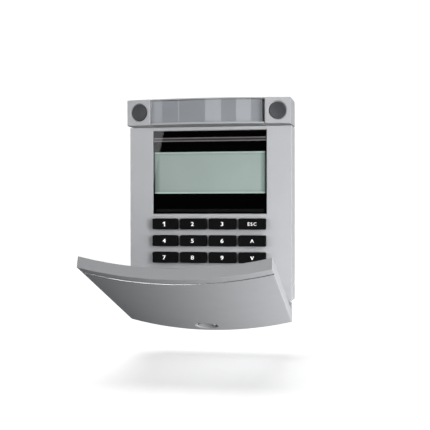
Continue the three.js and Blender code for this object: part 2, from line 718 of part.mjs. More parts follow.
function flapShell() {
  const skin = bowed(
    -FLAP_HALF, FLAP_HALF, FLAP_FRONT, -FLAP_TAIL, FLAP_TOP, { thickness: FLAP_THICKNESS },
  );
  const hollow = bowed(
    -FLAP_HALF + WALL, FLAP_HALF - WALL, FLAP_FRONT + WALL, -FLAP_TAIL + WALL, FLAP_TOP - WALL,
    { thickness: FLAP_THICKNESS },
  );
  const grooveHeight = FLAP_TOP - GROOVE_FROM_END;
  const groove = bowed(
    -FLAP_HALF - 1, FLAP_HALF + 1, FLAP_FRONT - 1, grooveHeight - GROOVE_HALF, grooveHeight + GROOVE_HALF,
    { thickness: 1.8 },
  );
  let shell = cut(skin, hollow, groove);
  for (const side of [-1, 1]) {
    const ear = [side * (LUG.outer + 0.4), side * FLAP_HALF].sort((a, b) => a - b);
    const notch = [side * (LUG.inner - 0.4), side * (LUG.outer + 0.4)].sort((a, b) => a - b);
    const pinHole = [side * LUG.outer, side * (FLAP_HALF - PIN_COVER)].sort((a, b) => a - b);
    shell = cut(shell, rod('x', [0, 0, 0], notch[0], notch[1], LUG.radius + 0.7));
    shell = join(
      shell,
      rod('x', [0, 0, 0], ear[0], ear[1], 3.1, { sides: 24 }),
      block(ear[0], ear[1], FLAP_BACK - 1, 0, -3.1, 3.1),
    );
    shell = cut(shell, rod('x', [0, 0, 0], pinHole[0], pinHole[1], HINGE_PIN_RADIUS + FIT));
  }
  const apex = FLAP_FRONT - BOW;
  return cut(
    shell,
    rod('y', [0, 0, EMBLEM_HEIGHT], apex - 2, apex + WALL + 1, EMBLEM_RADIUS + 0.25, { sides: 32 }),
    rod('y', [0, 0, EMBLEM_HEIGHT], apex - 0.5, apex + 1.2, EMBLEM_RADIUS + 2, {
      endRadius: EMBLEM_RADIUS + 0.25, sides: 32,
    }),
  );
}

function flapLiner() {
  const inset = WALL + FIT;
  const clearOfLugs = LUG.radius + 0.9;
  return cut(
    bowed(
      -FLAP_HALF + inset, FLAP_HALF - inset, FLAP_BACK - LINER_THICKNESS - 0.4, clearOfLugs,
      FLAP_TOP - inset, { thickness: LINER_THICKNESS },
    ),
    rod('y', [0, 0, EMBLEM_HEIGHT], FLAP_BACK - BOW - 3, FLAP_BACK + 1, 2.4),
  );
}

// Round press button near the hinge, kept in by a flange, with a stem that reaches the pad behind
// the shut flap.
function activationButton() {
  const apex = FLAP_FRONT - BOW;
  const flange = apex + WALL + FIT + 0.1;
  const stemEnd = -HINGE_DEPTH - PAD_TRAVEL - 2 * FIT;
  return cut(
    join(
      rod('y', [0, 0, EMBLEM_HEIGHT], apex + 0.5, flange + 0.2, EMBLEM_RADIUS, { sides: 32 }),
      rod('y', [0, 0, EMBLEM_HEIGHT], flange, flange + 0.8, EMBLEM_RADIUS + 1.2),
      rod('y', [0, 0, EMBLEM_HEIGHT], flange, stemEnd, 1.8),
    ),
    rod('y', [0, 0, EMBLEM_HEIGHT], apex, apex + 1, EMBLEM_RADIUS - 0.8, {
      endRadius: EMBLEM_RADIUS - 2.6, sides: 32,
    }),
  );
}

// ---- assembly ----

function named(name, solid, material, place = [0, 0, 0]) {
  const mesh = new THREE.Mesh(toGeometry(solid), material);
  mesh.name = name;
  mesh.position.set(...place);
  return mesh;
}

// Face coordinates: the group stands on the front face's bottom edge.
const panel = new THREE.Group();
panel.position.set(0, -FACE_DEPTH, -BAR_TOP / 2);

panel.add(
  named('wall_base', wallBase(), GREY_PLASTIC()),
  named('front_housing', frontHousing(), GREY_PLASTIC()),
  named('window_lens', windowLens(), CLEAR_PLASTIC()),
  named('display_mask', displayMask(), BLACK_PLASTIC()),
  named('lcd_glass', lcdGlass(), GREEN_GLASS()),
  named('backlight_guide', backlightGuide(), WHITE_PLASTIC()),
  named('lcd_holder', lcdHolder(), BLACK_PLASTIC()),
  named('keypad_mat', keypadMat(), SILICONE()),
  named('main_board', mainBoard(), CIRCUIT_BOARD()),
  named('reader_coil', readerCoil(), COPPER()),
  named('buzzer', buzzer(), BLACK_PLASTIC()),
  named('terminal_block', terminalBlock(), WHITE_PLASTIC()),
  named('controller_chip', controllerChip(), BLACK_PLASTIC()),
  named('bus_header', busHeader(), WHITE_PLASTIC()),
  named('tamper_switch', tamperSwitch(), BLACK_PLASTIC()),
  named('tamper_plunger', tamperPlunger(), WHITE_PLASTIC()),
  named('activation_pad', activationPad(), WHITE_PLASTIC()),
  named('activation_switch', activationSwitch(), BLACK_PLASTIC()),
  named('lock_screw', lockScrew(), STEEL()),
  named('segment_base', segmentBase(), GREY_PLASTIC()),
  named('segment_frame', segmentFrame(), GREY_PLASTIC()),
  named('label_card', labelCard(), CARD()),
  named('label_cover', labelCover(), CLEAR_PLASTIC()),
  named('segment_board', segmentBoard(), CIRCUIT_BOARD()),
);

BOARD_SCREWS.forEach(([x, z], index) => {
  panel.add(named(`board_screw_${index + 1}`, boardScrew(x, z), STEEL()));
});

for (const [side, word] of [[-1, 'left'], [1, 'right']]) {
  panel.add(
    named(`hinge_pin_${word}`, hingePin(side), STEEL()),
    named(`bar_button_${word}`, barButton(side), GREY_PLASTIC()),
    named(`status_lens_${word}`, statusLens(side), SMOKED_LENS()),
    named(`segment_switch_${word}`, segmentSwitch(side), BLACK_PLASTIC()),
    named(`segment_led_${word}`, segmentLed(side), WHITE_PLASTIC()),
  );
}

KEY_ROWS.forEach((names, row) => {
  names.forEach((name, column) => {
    const { middle, width } = KEY_COLUMNS[column];
    const place = [middle, 0, keyRowMiddle(row)];
    panel.add(named(name, key(width), BLACK_PLASTIC(), place));
  });
});

const flap = new THREE.Group();
flap.position.set(0, HINGE_DEPTH, HINGE_HEIGHT);
flap.rotation.x = FLAP_OPEN;
flap.add(
  named('flap_shell', flapShell(), GREY_PLASTIC()),
  named('flap_liner', flapLiner(), GREY_PLASTIC()),
  named('activation_button', activationButton(), SMOKED_LENS()),
);
panel.add(flap);

const keypadPanel = new THREE.Group();
keypadPanel.add(panel);

export default keypadPanel;
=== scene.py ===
"""Looks of the alarm keypad panel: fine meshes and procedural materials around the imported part.

Pieces are drawn in millimetres, in face coordinates: x across, y the depth behind the flat front face and
z the height above the housing's bottom edge. Flap pieces are drawn shut, around the hinge axis.
seat() carries both to the frame's own metres.
"""
import math

import bmesh
import bpy
from mathutils import Matrix, Vector


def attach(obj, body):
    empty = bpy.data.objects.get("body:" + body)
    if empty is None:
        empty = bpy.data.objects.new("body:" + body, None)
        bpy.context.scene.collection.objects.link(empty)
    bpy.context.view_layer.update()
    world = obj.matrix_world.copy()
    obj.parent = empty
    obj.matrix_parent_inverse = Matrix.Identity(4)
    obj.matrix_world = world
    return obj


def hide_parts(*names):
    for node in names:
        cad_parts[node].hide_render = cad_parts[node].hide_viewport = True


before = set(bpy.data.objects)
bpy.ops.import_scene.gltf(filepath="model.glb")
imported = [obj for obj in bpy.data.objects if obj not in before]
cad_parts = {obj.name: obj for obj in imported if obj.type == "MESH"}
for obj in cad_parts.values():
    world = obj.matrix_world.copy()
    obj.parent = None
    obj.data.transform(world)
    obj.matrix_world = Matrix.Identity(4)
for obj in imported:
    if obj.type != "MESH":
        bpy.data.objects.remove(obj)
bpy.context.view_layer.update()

# ---- driving dimensions, in millimetres ----

MM = 0.001  # one millimetre in the frame's metres
WIDTH = 102.0
BODY_HEIGHT = 107.6
BAR_HEIGHT = 16.0
BAR_SEAM = 0.5
FACE_DEPTH = 19.6
PROUD = 7.0  # how far the bar and the shut flap stand ahead of the face at their ends
BOW = 6.2  # how much further they stand in the middle
WALL = 2.0
FIT = 0.3  # gap between moulded parts
SLIP = 0.15  # gap around a part that sits in another
EDGE = 0.3
CORNER = 0.3
AXIS_RADIUS = 0.05  # radius at which a lathe-turned profile ends, so that its cap stays a face
HOUSING_BACK = 12.5
SILL_DROP = 6.4
SILL_FRONT = 11.6
SILL_HALF = 48.2
HINGE_DEPTH = 1.4
HINGE_HEIGHT = -3.8
PIN_RADIUS = 1.5
PIN_COVER = 0.6
FLAP_OPEN = math.radians(70)
FLAP_WIDTH = 101.6
FLAP_LENGTH = 114.5
FLAP_THICKNESS = 6.2
FLAP_TAIL = 3.3
EMBLEM_HEIGHT = 8.2
EMBLEM_RADIUS = 5.4
PAD_HEIGHT = HINGE_HEIGHT + EMBLEM_HEIGHT
PAD_RADIUS = 2.6
WINDOW_LEFT, WINDOW_RIGHT, WINDOW_BOTTOM, WINDOW_TOP = -36.1, 35.3, 53.5, 105.3
SCREEN_LEFT, SCREEN_RIGHT, SCREEN_BOTTOM, SCREEN_TOP = -35.5, 34.7, 66.1, 92.1
KEY_HEIGHT, KEY_PITCH_Z, KEY_TOP, KEY_PROUD = 6.65, 10.43, 50.5, 2.5
KEY_COLUMNS = [(-28.2, 15.9), (-10.3, 16.5), (8.1, 16.9), (26.6, 16.8)]  # middle and width
BUTTON_INNER = 35.5
BUTTON_BACK = 1.0
BUTTON_LENS_X = 43.1
POST_X = 37.6
LENS_RADIUS = 5.6
LENS_LIP, LIP_BACK = 0.5, 1.5  # the button closes over the lens edge by this much, down to this depth
PLINTH_FRONT, PLINTH_BACK = 2.3, 5.4
BOARD_FRONT, BOARD_BACK = 5.7, 7.3
LUG_INNER, LUG_OUTER, LUG_RADIUS = 43.8, 48.4, 2.9
LABEL_LEFT, LABEL_RIGHT = -34.9, 33.6
LABEL_SETBACK = 0.5
LOCK_SCREW_DEPTH = 15.4
TAMPER_X, TAMPER_Z = 26.0, 62.0

HALF = WIDTH / 2
FLAP_HALF = FLAP_WIDTH / 2
BAR_BOTTOM = BODY_HEIGHT + BAR_SEAM
BAR_TOP = BAR_BOTTOM + BAR_HEIGHT
BAR_MIDDLE = (BAR_BOTTOM + BAR_TOP) / 2
LABEL_BOTTOM, LABEL_TOP = BAR_BOTTOM + 1.3, BAR_TOP - 0.9
BOW_RADIUS = (HALF**2 + BOW**2) / (2 * BOW)
REAR_FLOOR = FACE_DEPTH - WALL
FLAP_FRONT = -PROUD - HINGE_DEPTH
FLAP_BACK = FLAP_FRONT + FLAP_THICKNESS
FLAP_TOP = FLAP_LENGTH - FLAP_TAIL

TO_FRAME = Matrix.Scale(MM, 4) @ Matrix.Translation((0, -FACE_DEPTH, -BAR_TOP / 2))
HINGE_PLACE = Matrix.Translation((0, HINGE_DEPTH, HINGE_HEIGHT))
FLAP_TO_FRAME = TO_FRAME @ HINGE_PLACE @ Matrix.Rotation(FLAP_OPEN, 4, "X")


def crown(x):
    """How far the bowed surface stands ahead of its own corners."""
    return math.sqrt(BOW_RADIUS**2 - x**2) - (BOW_RADIUS - BOW)


# ---- mesh tools: closed meshes in millimetres ----


def link(name, data):
    obj = bpy.data.objects.new(name, data)
    bpy.context.scene.collection.objects.link(obj)
    return obj


def from_bmesh(name, bm):
    bmesh.ops.recalc_face_normals(bm, faces=bm.faces)
    mesh = bpy.data.meshes.new(name)
    bm.to_mesh(mesh)
    bm.free()
    return link(name, mesh)


def loft(rings):
    """A closed skin through rings of points, with a flat cap at each end."""
    bm = bmesh.new()
    loops = [[bm.verts.new(point) for point in ring] for ring in rings]
    count = len(loops[0])
    for lower, upper in zip(loops, loops[1:]):
        for i in range(count):
            j = (i + 1) % count
            bm.faces.new((lower[i], lower[j], upper[j], upper[i]))
    bm.faces.new(loops[0])
    bm.faces.new(loops[-1])
    return from_bmesh("solid", bm)


def lay(axis, a, b, along):
    """A point from its two cross-section coordinates and its place along an axis."""
    return {"x": (along, a, b), "y": (a, along, b), "z": (a, b, along)}[axis]


def prism(outline, axis, start, end):
    return loft([[lay(axis, a, b, along) for a, b in outline] for along in (start, end)])


def box(x0, x1, y0, y1, z0, z1):
    return prism([(x0, z0), (x1, z0), (x1, z1), (x0, z1)], "y", y0, y1)


def across(axis, at):
    """The two coordinates of a place that are left when it is seen along an axis."""
    return {"x": (at[1], at[2]), "y": (at[0], at[2]), "z": (at[0], at[1])}[axis]


def around(middle, half):
    return middle - half, middle + half


def circle(radius, sides, centre):
    turn = 2 * math.pi / sides
    a, b = centre
    return [(a + radius * math.cos(i * turn), b + radius * math.sin(i * turn)) for i in range(sides)]


def turned(axis, at, profile, sides=48):
    """A lathe-turned solid from (place along the axis, radius) steps."""
    middle = across(axis, at)
    rings = []
    for along, radius in profile:
        rings.append([lay(axis, a, b, along) for a, b in circle(radius, sides, middle)])
    return loft(rings)


def rod(axis, at, start, end, radius, end_radius=None, sides=48):
    return turned(axis, at, [(start, radius), (end, radius if end_radius is None else end_radius)], sides)


def peg(x, z, start, end, radius, end_radius=None, sides=48):
    """A rod along the depth."""
    return rod("y", (x, 0, z), start, end, radius, end_radius, sides)


def rounded(x0, x1, z0, z1, radius, steps=8):
    """Outline of a rectangle with round corners."""
    points = []
    corners = [
        (x1 - radius, z0 + radius), (x1 - radius, z1 - radius),
        (x0 + radius, z1 - radius), (x0 + radius, z0 + radius),
    ]
    for quarter, (cx, cz) in enumerate(corners):
        for step in range(steps + 1):
            angle = math.pi / 2 * (quarter - 1 + step / steps)
            points.append((cx + radius * math.cos(angle), cz + radius * math.sin(angle)))
    return points


def plate(x0, x1, z0, z1, radius, front, back, fillet=0.0, rear_fillet=0.0, steps=5, arc=8):
    """A plate with round corners whose front and rear edges can be rolled over."""
    rings = []

    def ring(inset, depth):
        tightest = 0.05
        outline = rounded(x0 + inset, x1 - inset, z0 + inset, z1 - inset, max(radius - inset, tightest), arc)
        rings.append([(x, depth, z) for x, z in outline])

    for step in range(steps + 1 if fillet else 1):
        angle = math.pi / 2 * step / steps
        ring(fillet * (1 - math.sin(angle)), front + fillet * (1 - math.cos(angle)))
    for step in range(steps + 1 if rear_fillet else 1):
        angle = math.pi / 2 * step / steps
        ring(rear_fillet * (1 - math.cos(angle)), back - rear_fillet * (1 - math.sin(angle)))
    return loft(rings)


def bowed(x0, x1, front, z0, z1, thickness=0.0, flat_back=None, steps=56):
    """A slab whose front follows the crown, with a parallel or a flat rear."""
    places = [x0 + (x1 - x0) * i / steps for i in range(steps + 1)]
    outline = [(x, front - crown(x)) for x in places]
    if flat_back is None:
        outline += [(x, front + thickness - crown(x)) for x in reversed(places)]
    else:
        outline += [(x1, flat_back), (x0, flat_back)]
    return prism(outline, "z", z0, z1)


def combine(base, others, operation):
    for other in others:
        modifier = base.modifiers.new("shape", "BOOLEAN")
        modifier.operation = operation
        modifier.solver = "EXACT"
        modifier.object = other
    shaped = base.evaluated_get(bpy.context.evaluated_depsgraph_get())
    mesh = bpy.data.meshes.new_from_object(shaped)
    base.modifiers.clear()
    base.data = mesh
    for other in others:
        bpy.data.objects.remove(other)
    return base


def cut(base, *others):
    return combine(base, others, "DIFFERENCE")


def join(base, *others):
    return combine(base, others, "UNION")


def gather(base, *others):
    """Several separate solids as one piece."""
    bm = bmesh.new()
    for obj in (base, *others):
        bm.from_mesh(obj.data)
    for obj in others:
        bpy.data.objects.remove(obj)
    bm.to_mesh(base.data)
    bm.free()
    return base


def soften(obj, width, segments=2, where=None):
    """Rounds the edges sharper than 30 degrees that the where test accepts."""
    bm = bmesh.new()
    bm.from_mesh(obj.data)
    bmesh.ops.remove_doubles(bm, verts=bm.verts, dist=0.004)
    bmesh.ops.dissolve_limit(bm, angle_limit=math.radians(0.08), verts=bm.verts, edges=bm.edges)
    limit = math.radians(30)
    edges = []
    for edge in bm.edges:
        if len(edge.link_faces) == 2 and edge.calc_face_angle() > limit:
            if where is None or where((edge.verts[0].co + edge.verts[1].co) / 2):
                edges.append(edge)
    bmesh.ops.bevel(
        bm, geom=edges, offset=width, offset_type="OFFSET", segments=segments,
        profile=0.5, affect="EDGES", clamp_overlap=False,
    )
    bmesh.ops.remove_doubles(bm, verts=bm.verts, dist=0.002)
    bmesh.ops.recalc_face_normals(bm, faces=bm.faces)
    bm.to_mesh(obj.data)
    bm.free()
    return obj


def close_seams(mesh, turn_outwards=False):
    """Joins points that lie on top of each other, so that a mesh has no open edges."""
    bm = bmesh.new()
    bm.from_mesh(mesh)
    bmesh.ops.remove_doubles(bm, verts=bm.verts, dist=0.001)
    bmesh.ops.dissolve_degenerate(bm, dist=0.001, edges=bm.edges)
    if turn_outwards:
        bmesh.ops.recalc_face_normals(bm, faces=bm.faces)
    bm.to_mesh(mesh)
    bm.free()


seated = []  # every finished piece, in the order it was made


def seat(obj, name, body, material, extra=False, place=TO_FRAME):
    """Names a finished piece, carries it into the frame and gives it its body and material.

    It takes the place of the CAD solid of the same name, unless it is an extra one.
    """
    obj.name = name
    obj.data.name = name
    close_seams(obj.data)
    obj.data.transform(place)
    obj.data.polygons.foreach_set("use_smooth", [True] * len(obj.data.polygons))
    obj.data.set_sharp_from_angle(angle=math.radians(32))
    obj.modifiers.new("normals", "WEIGHTED_NORMAL").keep_sharp = True
    obj.data.materials.clear()
    obj.data.materials.append(material)
    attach(obj, body)
    if not extra:
        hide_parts(name)
    seated.append(obj)


# ---- materials ----


class Nodes:
    """Short calls for building the node tree of a material or a world."""

    def __init__(self, owner):
        owner.use_nodes = True
        self.owner = owner
        self.tree = owner.node_tree
        self.tree.nodes.clear()

    def add(self, kind, inputs=None, **settings):
        node = self.tree.nodes.new(f"ShaderNode{kind}")
        for key, value in settings.items():
            setattr(node, key, value)
        for key, value in (inputs or {}).items():
            self.feed(node.inputs[key], value)
        return node

    def feed(self, socket, value):
        """Links a node's first output or a given output, or sets a plain value."""
        if isinstance(value, bpy.types.Node):
            value = value.outputs[0]
        if isinstance(value, bpy.types.NodeSocket):
            self.tree.links.new(value, socket)
        else:
            socket.default_value = value

    def maths(self, operation, *values, clamp=False):
        return self.add("Math", dict(enumerate(values)), operation=operation, use_clamp=clamp)

    def mix(self, factor, first, second):
        node = self.add("Mix", data_type="RGBA")
        self.feed(node.inputs[0], factor)
        self.feed(node.inputs[6], first)
        self.feed(node.inputs[7], second)
        return node.outputs[2]

    def spread(self, value, low, high, to_low=0.0, to_high=1.0):
        inputs = {0: value, 1: low, 2: high, 3: to_low, 4: to_high}
        return self.add("MapRange", inputs)

    def noise(self, where, size, detail=3.0, roughness=0.5):
        """Noise whose features are about this many millimetres across."""
        inputs = {"Vector": where, "Scale": 1 / (size * MM), "Detail": detail, "Roughness": roughness}
        return self.add("TexNoise", inputs)

    def finish(self, surface):
        """Shows a shader on the owner's surface."""
        kind = "World" if isinstance(self.owner, bpy.types.World) else "Material"
        self.feed(self.add(f"Output{kind}").inputs[0], surface)
        return self.owner


def material_nodes(name):
    """The empty node tree of a new material, and each point's place in it."""
    nodes = Nodes(bpy.data.materials.new(name))
    return nodes, nodes.add("TexCoord").outputs["Object"]


def grey(level, blue=0.0):
    """Linear colour for a display grey from 0 to 255, a little blue if asked."""

    def linear(value):
        share = value / 255
        return share / 12.92 if share <= 0.04045 else ((share + 0.055) / 1.055) ** 2.4

    return (linear(level), linear(level + blue * 0.3), linear(level + blue), 1.0)


def tint(red, green, blue):
    return (grey(red)[0], grey(green)[0], grey(blue)[0], 1.0)


def moulded(
    name, colour, roughness=0.45, grain=0.12, grain_size=0.35, mottle=0.04, wear=0.12,
    metallic=0.0, specular=0.5, edge_shade_colour=None, lit=0.0,
):
    """Moulded or drawn material: fine surface grain, slight mottling and polished, lighter edges; if asked,
    rounded edges painted darker as painted shade, and a glow of its own colour as painted light.
    """
    nodes, where = material_nodes(name)
    fine = nodes.noise(where, grain_size, 2.0, 0.6)
    broad = nodes.noise(where, 28, 4.0, 0.55)
    speck = nodes.noise(where, 1.6, 3.0, 0.7)
    bump = nodes.add("Bump", {"Strength": grain, "Distance": grain_size * MM, "Height": fine})
    rolled = nodes.add("Bevel", {"Radius": 0.35 * MM}, samples=4)
    flat = nodes.add("NewGeometry").outputs["Normal"]
    facing = nodes.add("VectorMath", {0: rolled, 1: flat}, operation="DOT_PRODUCT")
    edge = nodes.spread(facing.outputs["Value"], 0.995, 0.85)
    worn = nodes.maths("MULTIPLY", edge, nodes.spread(speck, 0.35, 0.7), clamp=True)
    shade = nodes.mix(nodes.spread(broad, 0.3, 0.7), colour, darker(colour, 1 - mottle))
    shade = nodes.mix(nodes.spread(fine, 0.3, 0.7, 0, mottle), shade, darker(colour, 0.8))
    lighter = tuple(min(1.0, c * 1.25 + 0.02) for c in colour[:3]) + (1.0,)
    shade = nodes.mix(nodes.maths("MULTIPLY", worn, wear), shade, lighter)
    # painted shade: where asked, the rounded edges take this darker colour, standing in for the shade in the
    # gaps round the part
    if edge_shade_colour:
        shade = nodes.mix(edge, shade, edge_shade_colour)
    gloss = nodes.spread(broad, 0.3, 0.7, roughness * 0.92, roughness * 1.1)
    gloss = nodes.maths("SUBTRACT", gloss, nodes.maths("MULTIPLY", worn, 0.12), clamp=True)
    # the emission strength carries the painted glow, when one is asked for
    surface = nodes.add("BsdfPrincipled", {
        "Base Color": shade, "Roughness": gloss, "Metallic": metallic, "Normal": bump,
        "Specular IOR Level": specular, "Emission Color": colour, "Emission Strength": lit,
    })
    return nodes.finish(surface)


def darker(colour, share):
    return tuple(c * share for c in colour[:3]) + (1.0,)


def clear(name, tone, strength=1.0, veil=0.0):
    """Thin clear plastic: what is behind shows through, and the surface mirrors the room."""
    nodes, where = material_nodes(name)
    smudge = nodes.noise(where, 14, 5.0, 0.6)
    polish = nodes.spread(smudge, 0.45, 0.75, 0.0, 0.01)
    through = nodes.add("BsdfTransparent", {"Color": tone})
    shine = nodes.add("BsdfGlossy", {"Color": (1, 1, 1, 1), "Roughness": polish})
    haze = nodes.add("BsdfDiffuse", {"Color": grey(200)})
    fresnel = nodes.add("Fresnel", {"IOR": 1.49})
    front = nodes.add("NewGeometry").outputs["Backfacing"]
    share = nodes.maths("MULTIPLY", fresnel, nodes.maths("SUBTRACT", 1.0, front), clamp=True)
    share = nodes.maths("MULTIPLY", share, strength, clamp=True)
    body = nodes.add("MixShader", {0: veil, 1: through, 2: haze})
    mixed = nodes.add("MixShader", {0: share, 1: body, 2: shine})
    return nodes.finish(mixed)


def display(name):
    """Reflective display cell: pale green, darker towards its ends, with its faint grid of dots."""
    nodes, where = material_nodes(name)
    axes = nodes.add("SeparateXYZ", {0: where})
    middle = (SCREEN_LEFT + SCREEN_RIGHT) / 2
    half = SCREEN_RIGHT - middle
    side = nodes.maths("ABSOLUTE", nodes.maths("SUBTRACT", axes.outputs[0], middle * MM))
    height = nodes.maths("ADD", axes.outputs[2], (BAR_TOP / 2) * MM)

    def fade(place, start, end):
        return nodes.spread(place, start * MM, end * MM)

    end = fade(side, half - 3.6, half - 2.2)
    rim = fade(side, half - 0.6, half - 0.3)
    upper = fade(height, SCREEN_TOP - 0.95, SCREEN_TOP - 0.75)
    lower = fade(height, SCREEN_BOTTOM + 1.15, SCREEN_BOTTOM + 0.95)
    frame_line = nodes.maths("MAXIMUM", upper, lower)
    under_upper = fade(height, SCREEN_TOP - 2.1, SCREEN_TOP - 1.7)
    over_lower = fade(height, SCREEN_BOTTOM + 2.3, SCREEN_BOTTOM + 1.9)
    inner_band = nodes.maths("MAXIMUM", under_upper, over_lower)
    cloud = nodes.noise(where, 26, 2.0)
    shade = nodes.mix(nodes.spread(cloud, 0.35, 0.65), tint(180, 191, 186), tint(186, 198, 193))
    shade = nodes.mix(nodes.maths("MULTIPLY", inner_band, 0.35), shade, tint(150, 168, 160))
    shade = nodes.mix(nodes.maths("MULTIPLY", end, 0.6), shade, tint(128, 150, 141))
    shade = nodes.mix(nodes.maths("MULTIPLY", frame_line, 0.95), shade, tint(214, 234, 224))
    shade = nodes.mix(nodes.maths("MULTIPLY", rim, 0.4), shade, tint(70, 92, 84))
    dots = nodes.add("TexVoronoi", {"Vector": where, "Scale": 1 / (0.55 * MM), "Randomness": 0.0})
    shade = nodes.mix(nodes.spread(dots, 0.3, 0.5, 0, 0.05), shade, tint(140, 158, 150))
    surface = nodes.add("BsdfPrincipled", {"Base Color": shade, "Roughness": 0.35})
    return nodes.finish(surface)


def board_finish(name):
    """Green solder mask over copper: tracks show as slightly raised, lighter lines."""
    nodes, where = material_nodes(name)
    flat = nodes.add("VectorMath", {0: where, 1: (1, 0, 1)}, operation="MULTIPLY")
    upright = nodes.add("Mapping", {"Vector": flat, "Rotation": (math.pi / 2, 0, 0)})
    cells = nodes.add("TexBrick", {
        "Vector": upright, "Scale": 1 / (6 * MM), "Mortar Size": 0.035, "Color1": grey(255),
        "Color2": grey(255), "Mortar": grey(0), "Brick Width": 0.9, "Row Height": 0.33,
    })
    weave = nodes.noise(where, 0.7, 2.0)
    tracks = cells.outputs[1]
    shade = nodes.mix(tracks, tint(40, 104, 64), tint(24, 78, 46))
    shade = nodes.mix(nodes.spread(weave, 0.4, 0.6, 0, 0.2), shade, tint(18, 66, 38))
    bump = nodes.add("Bump", {"Strength": 0.3, "Distance": 0.05 * MM, "Height": tracks})
    surface = nodes.add("BsdfPrincipled", {
        "Base Color": shade, "Roughness": 0.35, "Normal": bump,
    })
    return nodes.finish(surface)


PLASTIC = grey(196, 4)
PRINTED = {"roughness": 0.5, "grain": 0.02, "wear": 0.0}
HOUSING = moulded("housing_grey", PLASTIC, roughness=0.46, grain=0.10)
FLAP = moulded("flap_grey", PLASTIC, roughness=0.42, grain=0.08)
FLAP_LIP = moulded("polished_grey", PLASTIC, roughness=0.25, grain=0.02, wear=0.0, metallic=0.8)
LINER = moulded("liner_grey", darker(PLASTIC, 0.92), roughness=0.6, grain=0.25, grain_size=0.6)
BLACK = moulded("black_plastic", grey(28), roughness=0.42, grain=0.12)
# the keys' rounded edges are painted near black: painted shade for the dark gaps between the keys
KEYCAP = moulded(
    "key_black", grey(15, 1), roughness=0.5, grain=0.12, specular=0.15, wear=0.0, edge_shade_colour=grey(1),
)
FILM = moulded("black_film", grey(2), specular=0.0, **PRINTED)
FILM_LINE = moulded("film_line", tint(128, 122, 124), **PRINTED)
FILM_BAND = moulded("film_band", tint(54, 48, 48), **PRINTED)
FILM_FOOT = moulded("film_foot", grey(24), roughness=0.4, grain=0.02, wear=0.0, specular=0.1)
# the legends glow a little of their own: painted light that makes the white print brighter than the lamps
# make it
LEGEND = moulded("legend_white", grey(252), roughness=0.6, grain=0.03, wear=0.0, lit=0.5)
WHITE = moulded("white_plastic", grey(226), roughness=0.5)
CONNECTOR = moulded("connector_plastic", tint(66, 130, 78), roughness=0.45)
SILICONE = moulded("grey_silicone", tint(70, 76, 84), roughness=0.75, grain=0.2)
STEEL = moulded("screw_steel", grey(190), roughness=0.28, metallic=1.0, wear=0.4)
COPPER = moulded("copper_wire", tint(190, 120, 74), roughness=0.35, metallic=1.0, wear=0.3)
TIN = moulded("tinned_leads", grey(205), roughness=0.35, metallic=1.0, wear=0.2)
CARD = moulded("label_card", grey(190, 4), roughness=0.85, grain=0.3, grain_size=0.25, wear=0.0)
LENS = moulded("smoked_lens", tint(80, 81, 84), roughness=0.4, grain=0.02, wear=0.0)
EMBLEM = moulded("emblem_satin", grey(186, 4), roughness=0.25, grain=0.03, wear=0.2)
WINDOW = clear("window_acrylic", (0.97, 0.98, 0.98, 1), strength=1.0)
COVER = clear("label_acrylic", (0.95, 0.96, 0.97, 1), strength=1.6, veil=0.04)
DISPLAY = display("display_glass")
BOARD = board_finish("circuit_board")

SLOTS = {
    "housing_plastic": [HOUSING], "flap_plastic": [FLAP, FLAP_LIP, LINER, EMBLEM], "key_plastic": [KEYCAP],
    "clear_acrylic": [WINDOW, COVER], "black_film": [FILM, FILM_LINE, FILM_BAND, FILM_FOOT],
    "display_glass": [DISPLAY], "smoked_lens": [LENS], "label_card": [CARD], "black_plastic": [BLACK],
    "white_plastic": [WHITE, LEGEND], "connector_plastic": [CONNECTOR], "silicone": [SILICONE],
    "circuit_board": [BOARD], "copper_wire": [COPPER], "screw_steel": [STEEL, TIN],
}
slot_of = {material.name: slot for slot, materials in SLOTS.items() for material in materials}

# ---- control bar ----

SLOT_LONG, SLOT_SHORT, SLOT_END_RADIUS = 4.8, 2.2, 2.19  # half sizes of the screw slots in the rear wall
PANEL_DEPTH = 0.6  # depth of the flat panels sunk into the rear wall


def along_lens(side, profile, sides=64):
    """A turned solid on the button's own face normal, its steps measured inwards from the bowed surface."""
    solid = turned("y", (0, 0, 0), profile, sides)
    tilt = math.asin(BUTTON_LENS_X / BOW_RADIUS)
    front = (side * BUTTON_LENS_X, -PROUD - crown(BUTTON_LENS_X), BAR_MIDDLE)
    solid.data.transform(Matrix.Translation(front) @ Matrix.Rotation(side * tilt, 4, "Z"))
    return solid


def bar_button(side, word):
    x0, x1 = sorted((side * BUTTON_INNER, side * HALF))
    skin = bowed(x0, x1, -PROUD, BAR_BOTTOM, BAR_TOP, flat_back=BUTTON_BACK, steps=14)
    skin = soften(skin, 0.45, 4)
    low, high = BAR_BOTTOM + WALL, BAR_TOP - WALL
    hollow = bowed(x0 + WALL, x1 - WALL, -PROUD + WALL, low, high, flat_back=BUTTON_BACK + 8, steps=14)
    post_x = side * POST_X
    post = peg(post_x, BAR_MIDDLE, -PROUD - 1, 8, 1.2, sides=24)
    fin = box(*around(post_x, 0.4), -PROUD, 0.5, BAR_BOTTOM + 1, BAR_TOP - 1)
    cap = join(cut(skin, hollow), post, fin)
    lip = LENS_RADIUS - LENS_LIP
    seat_radius = LENS_RADIUS + SLIP
    lens_hole = along_lens(side, [
        (-1.5, lip + 2.1), (-0.2, lip + 1.0), (0.15, lip + 0.75), (0.6, lip + 0.35), (1.2, lip + 0.05),
        (LIP_BACK, lip + 0.05), (LIP_BACK, seat_radius), (5, seat_radius),
    ])
    cap = cut(cap, lens_hole)
    seat(cap, f"bar_button_{word}", f"{word}_button", HOUSING)


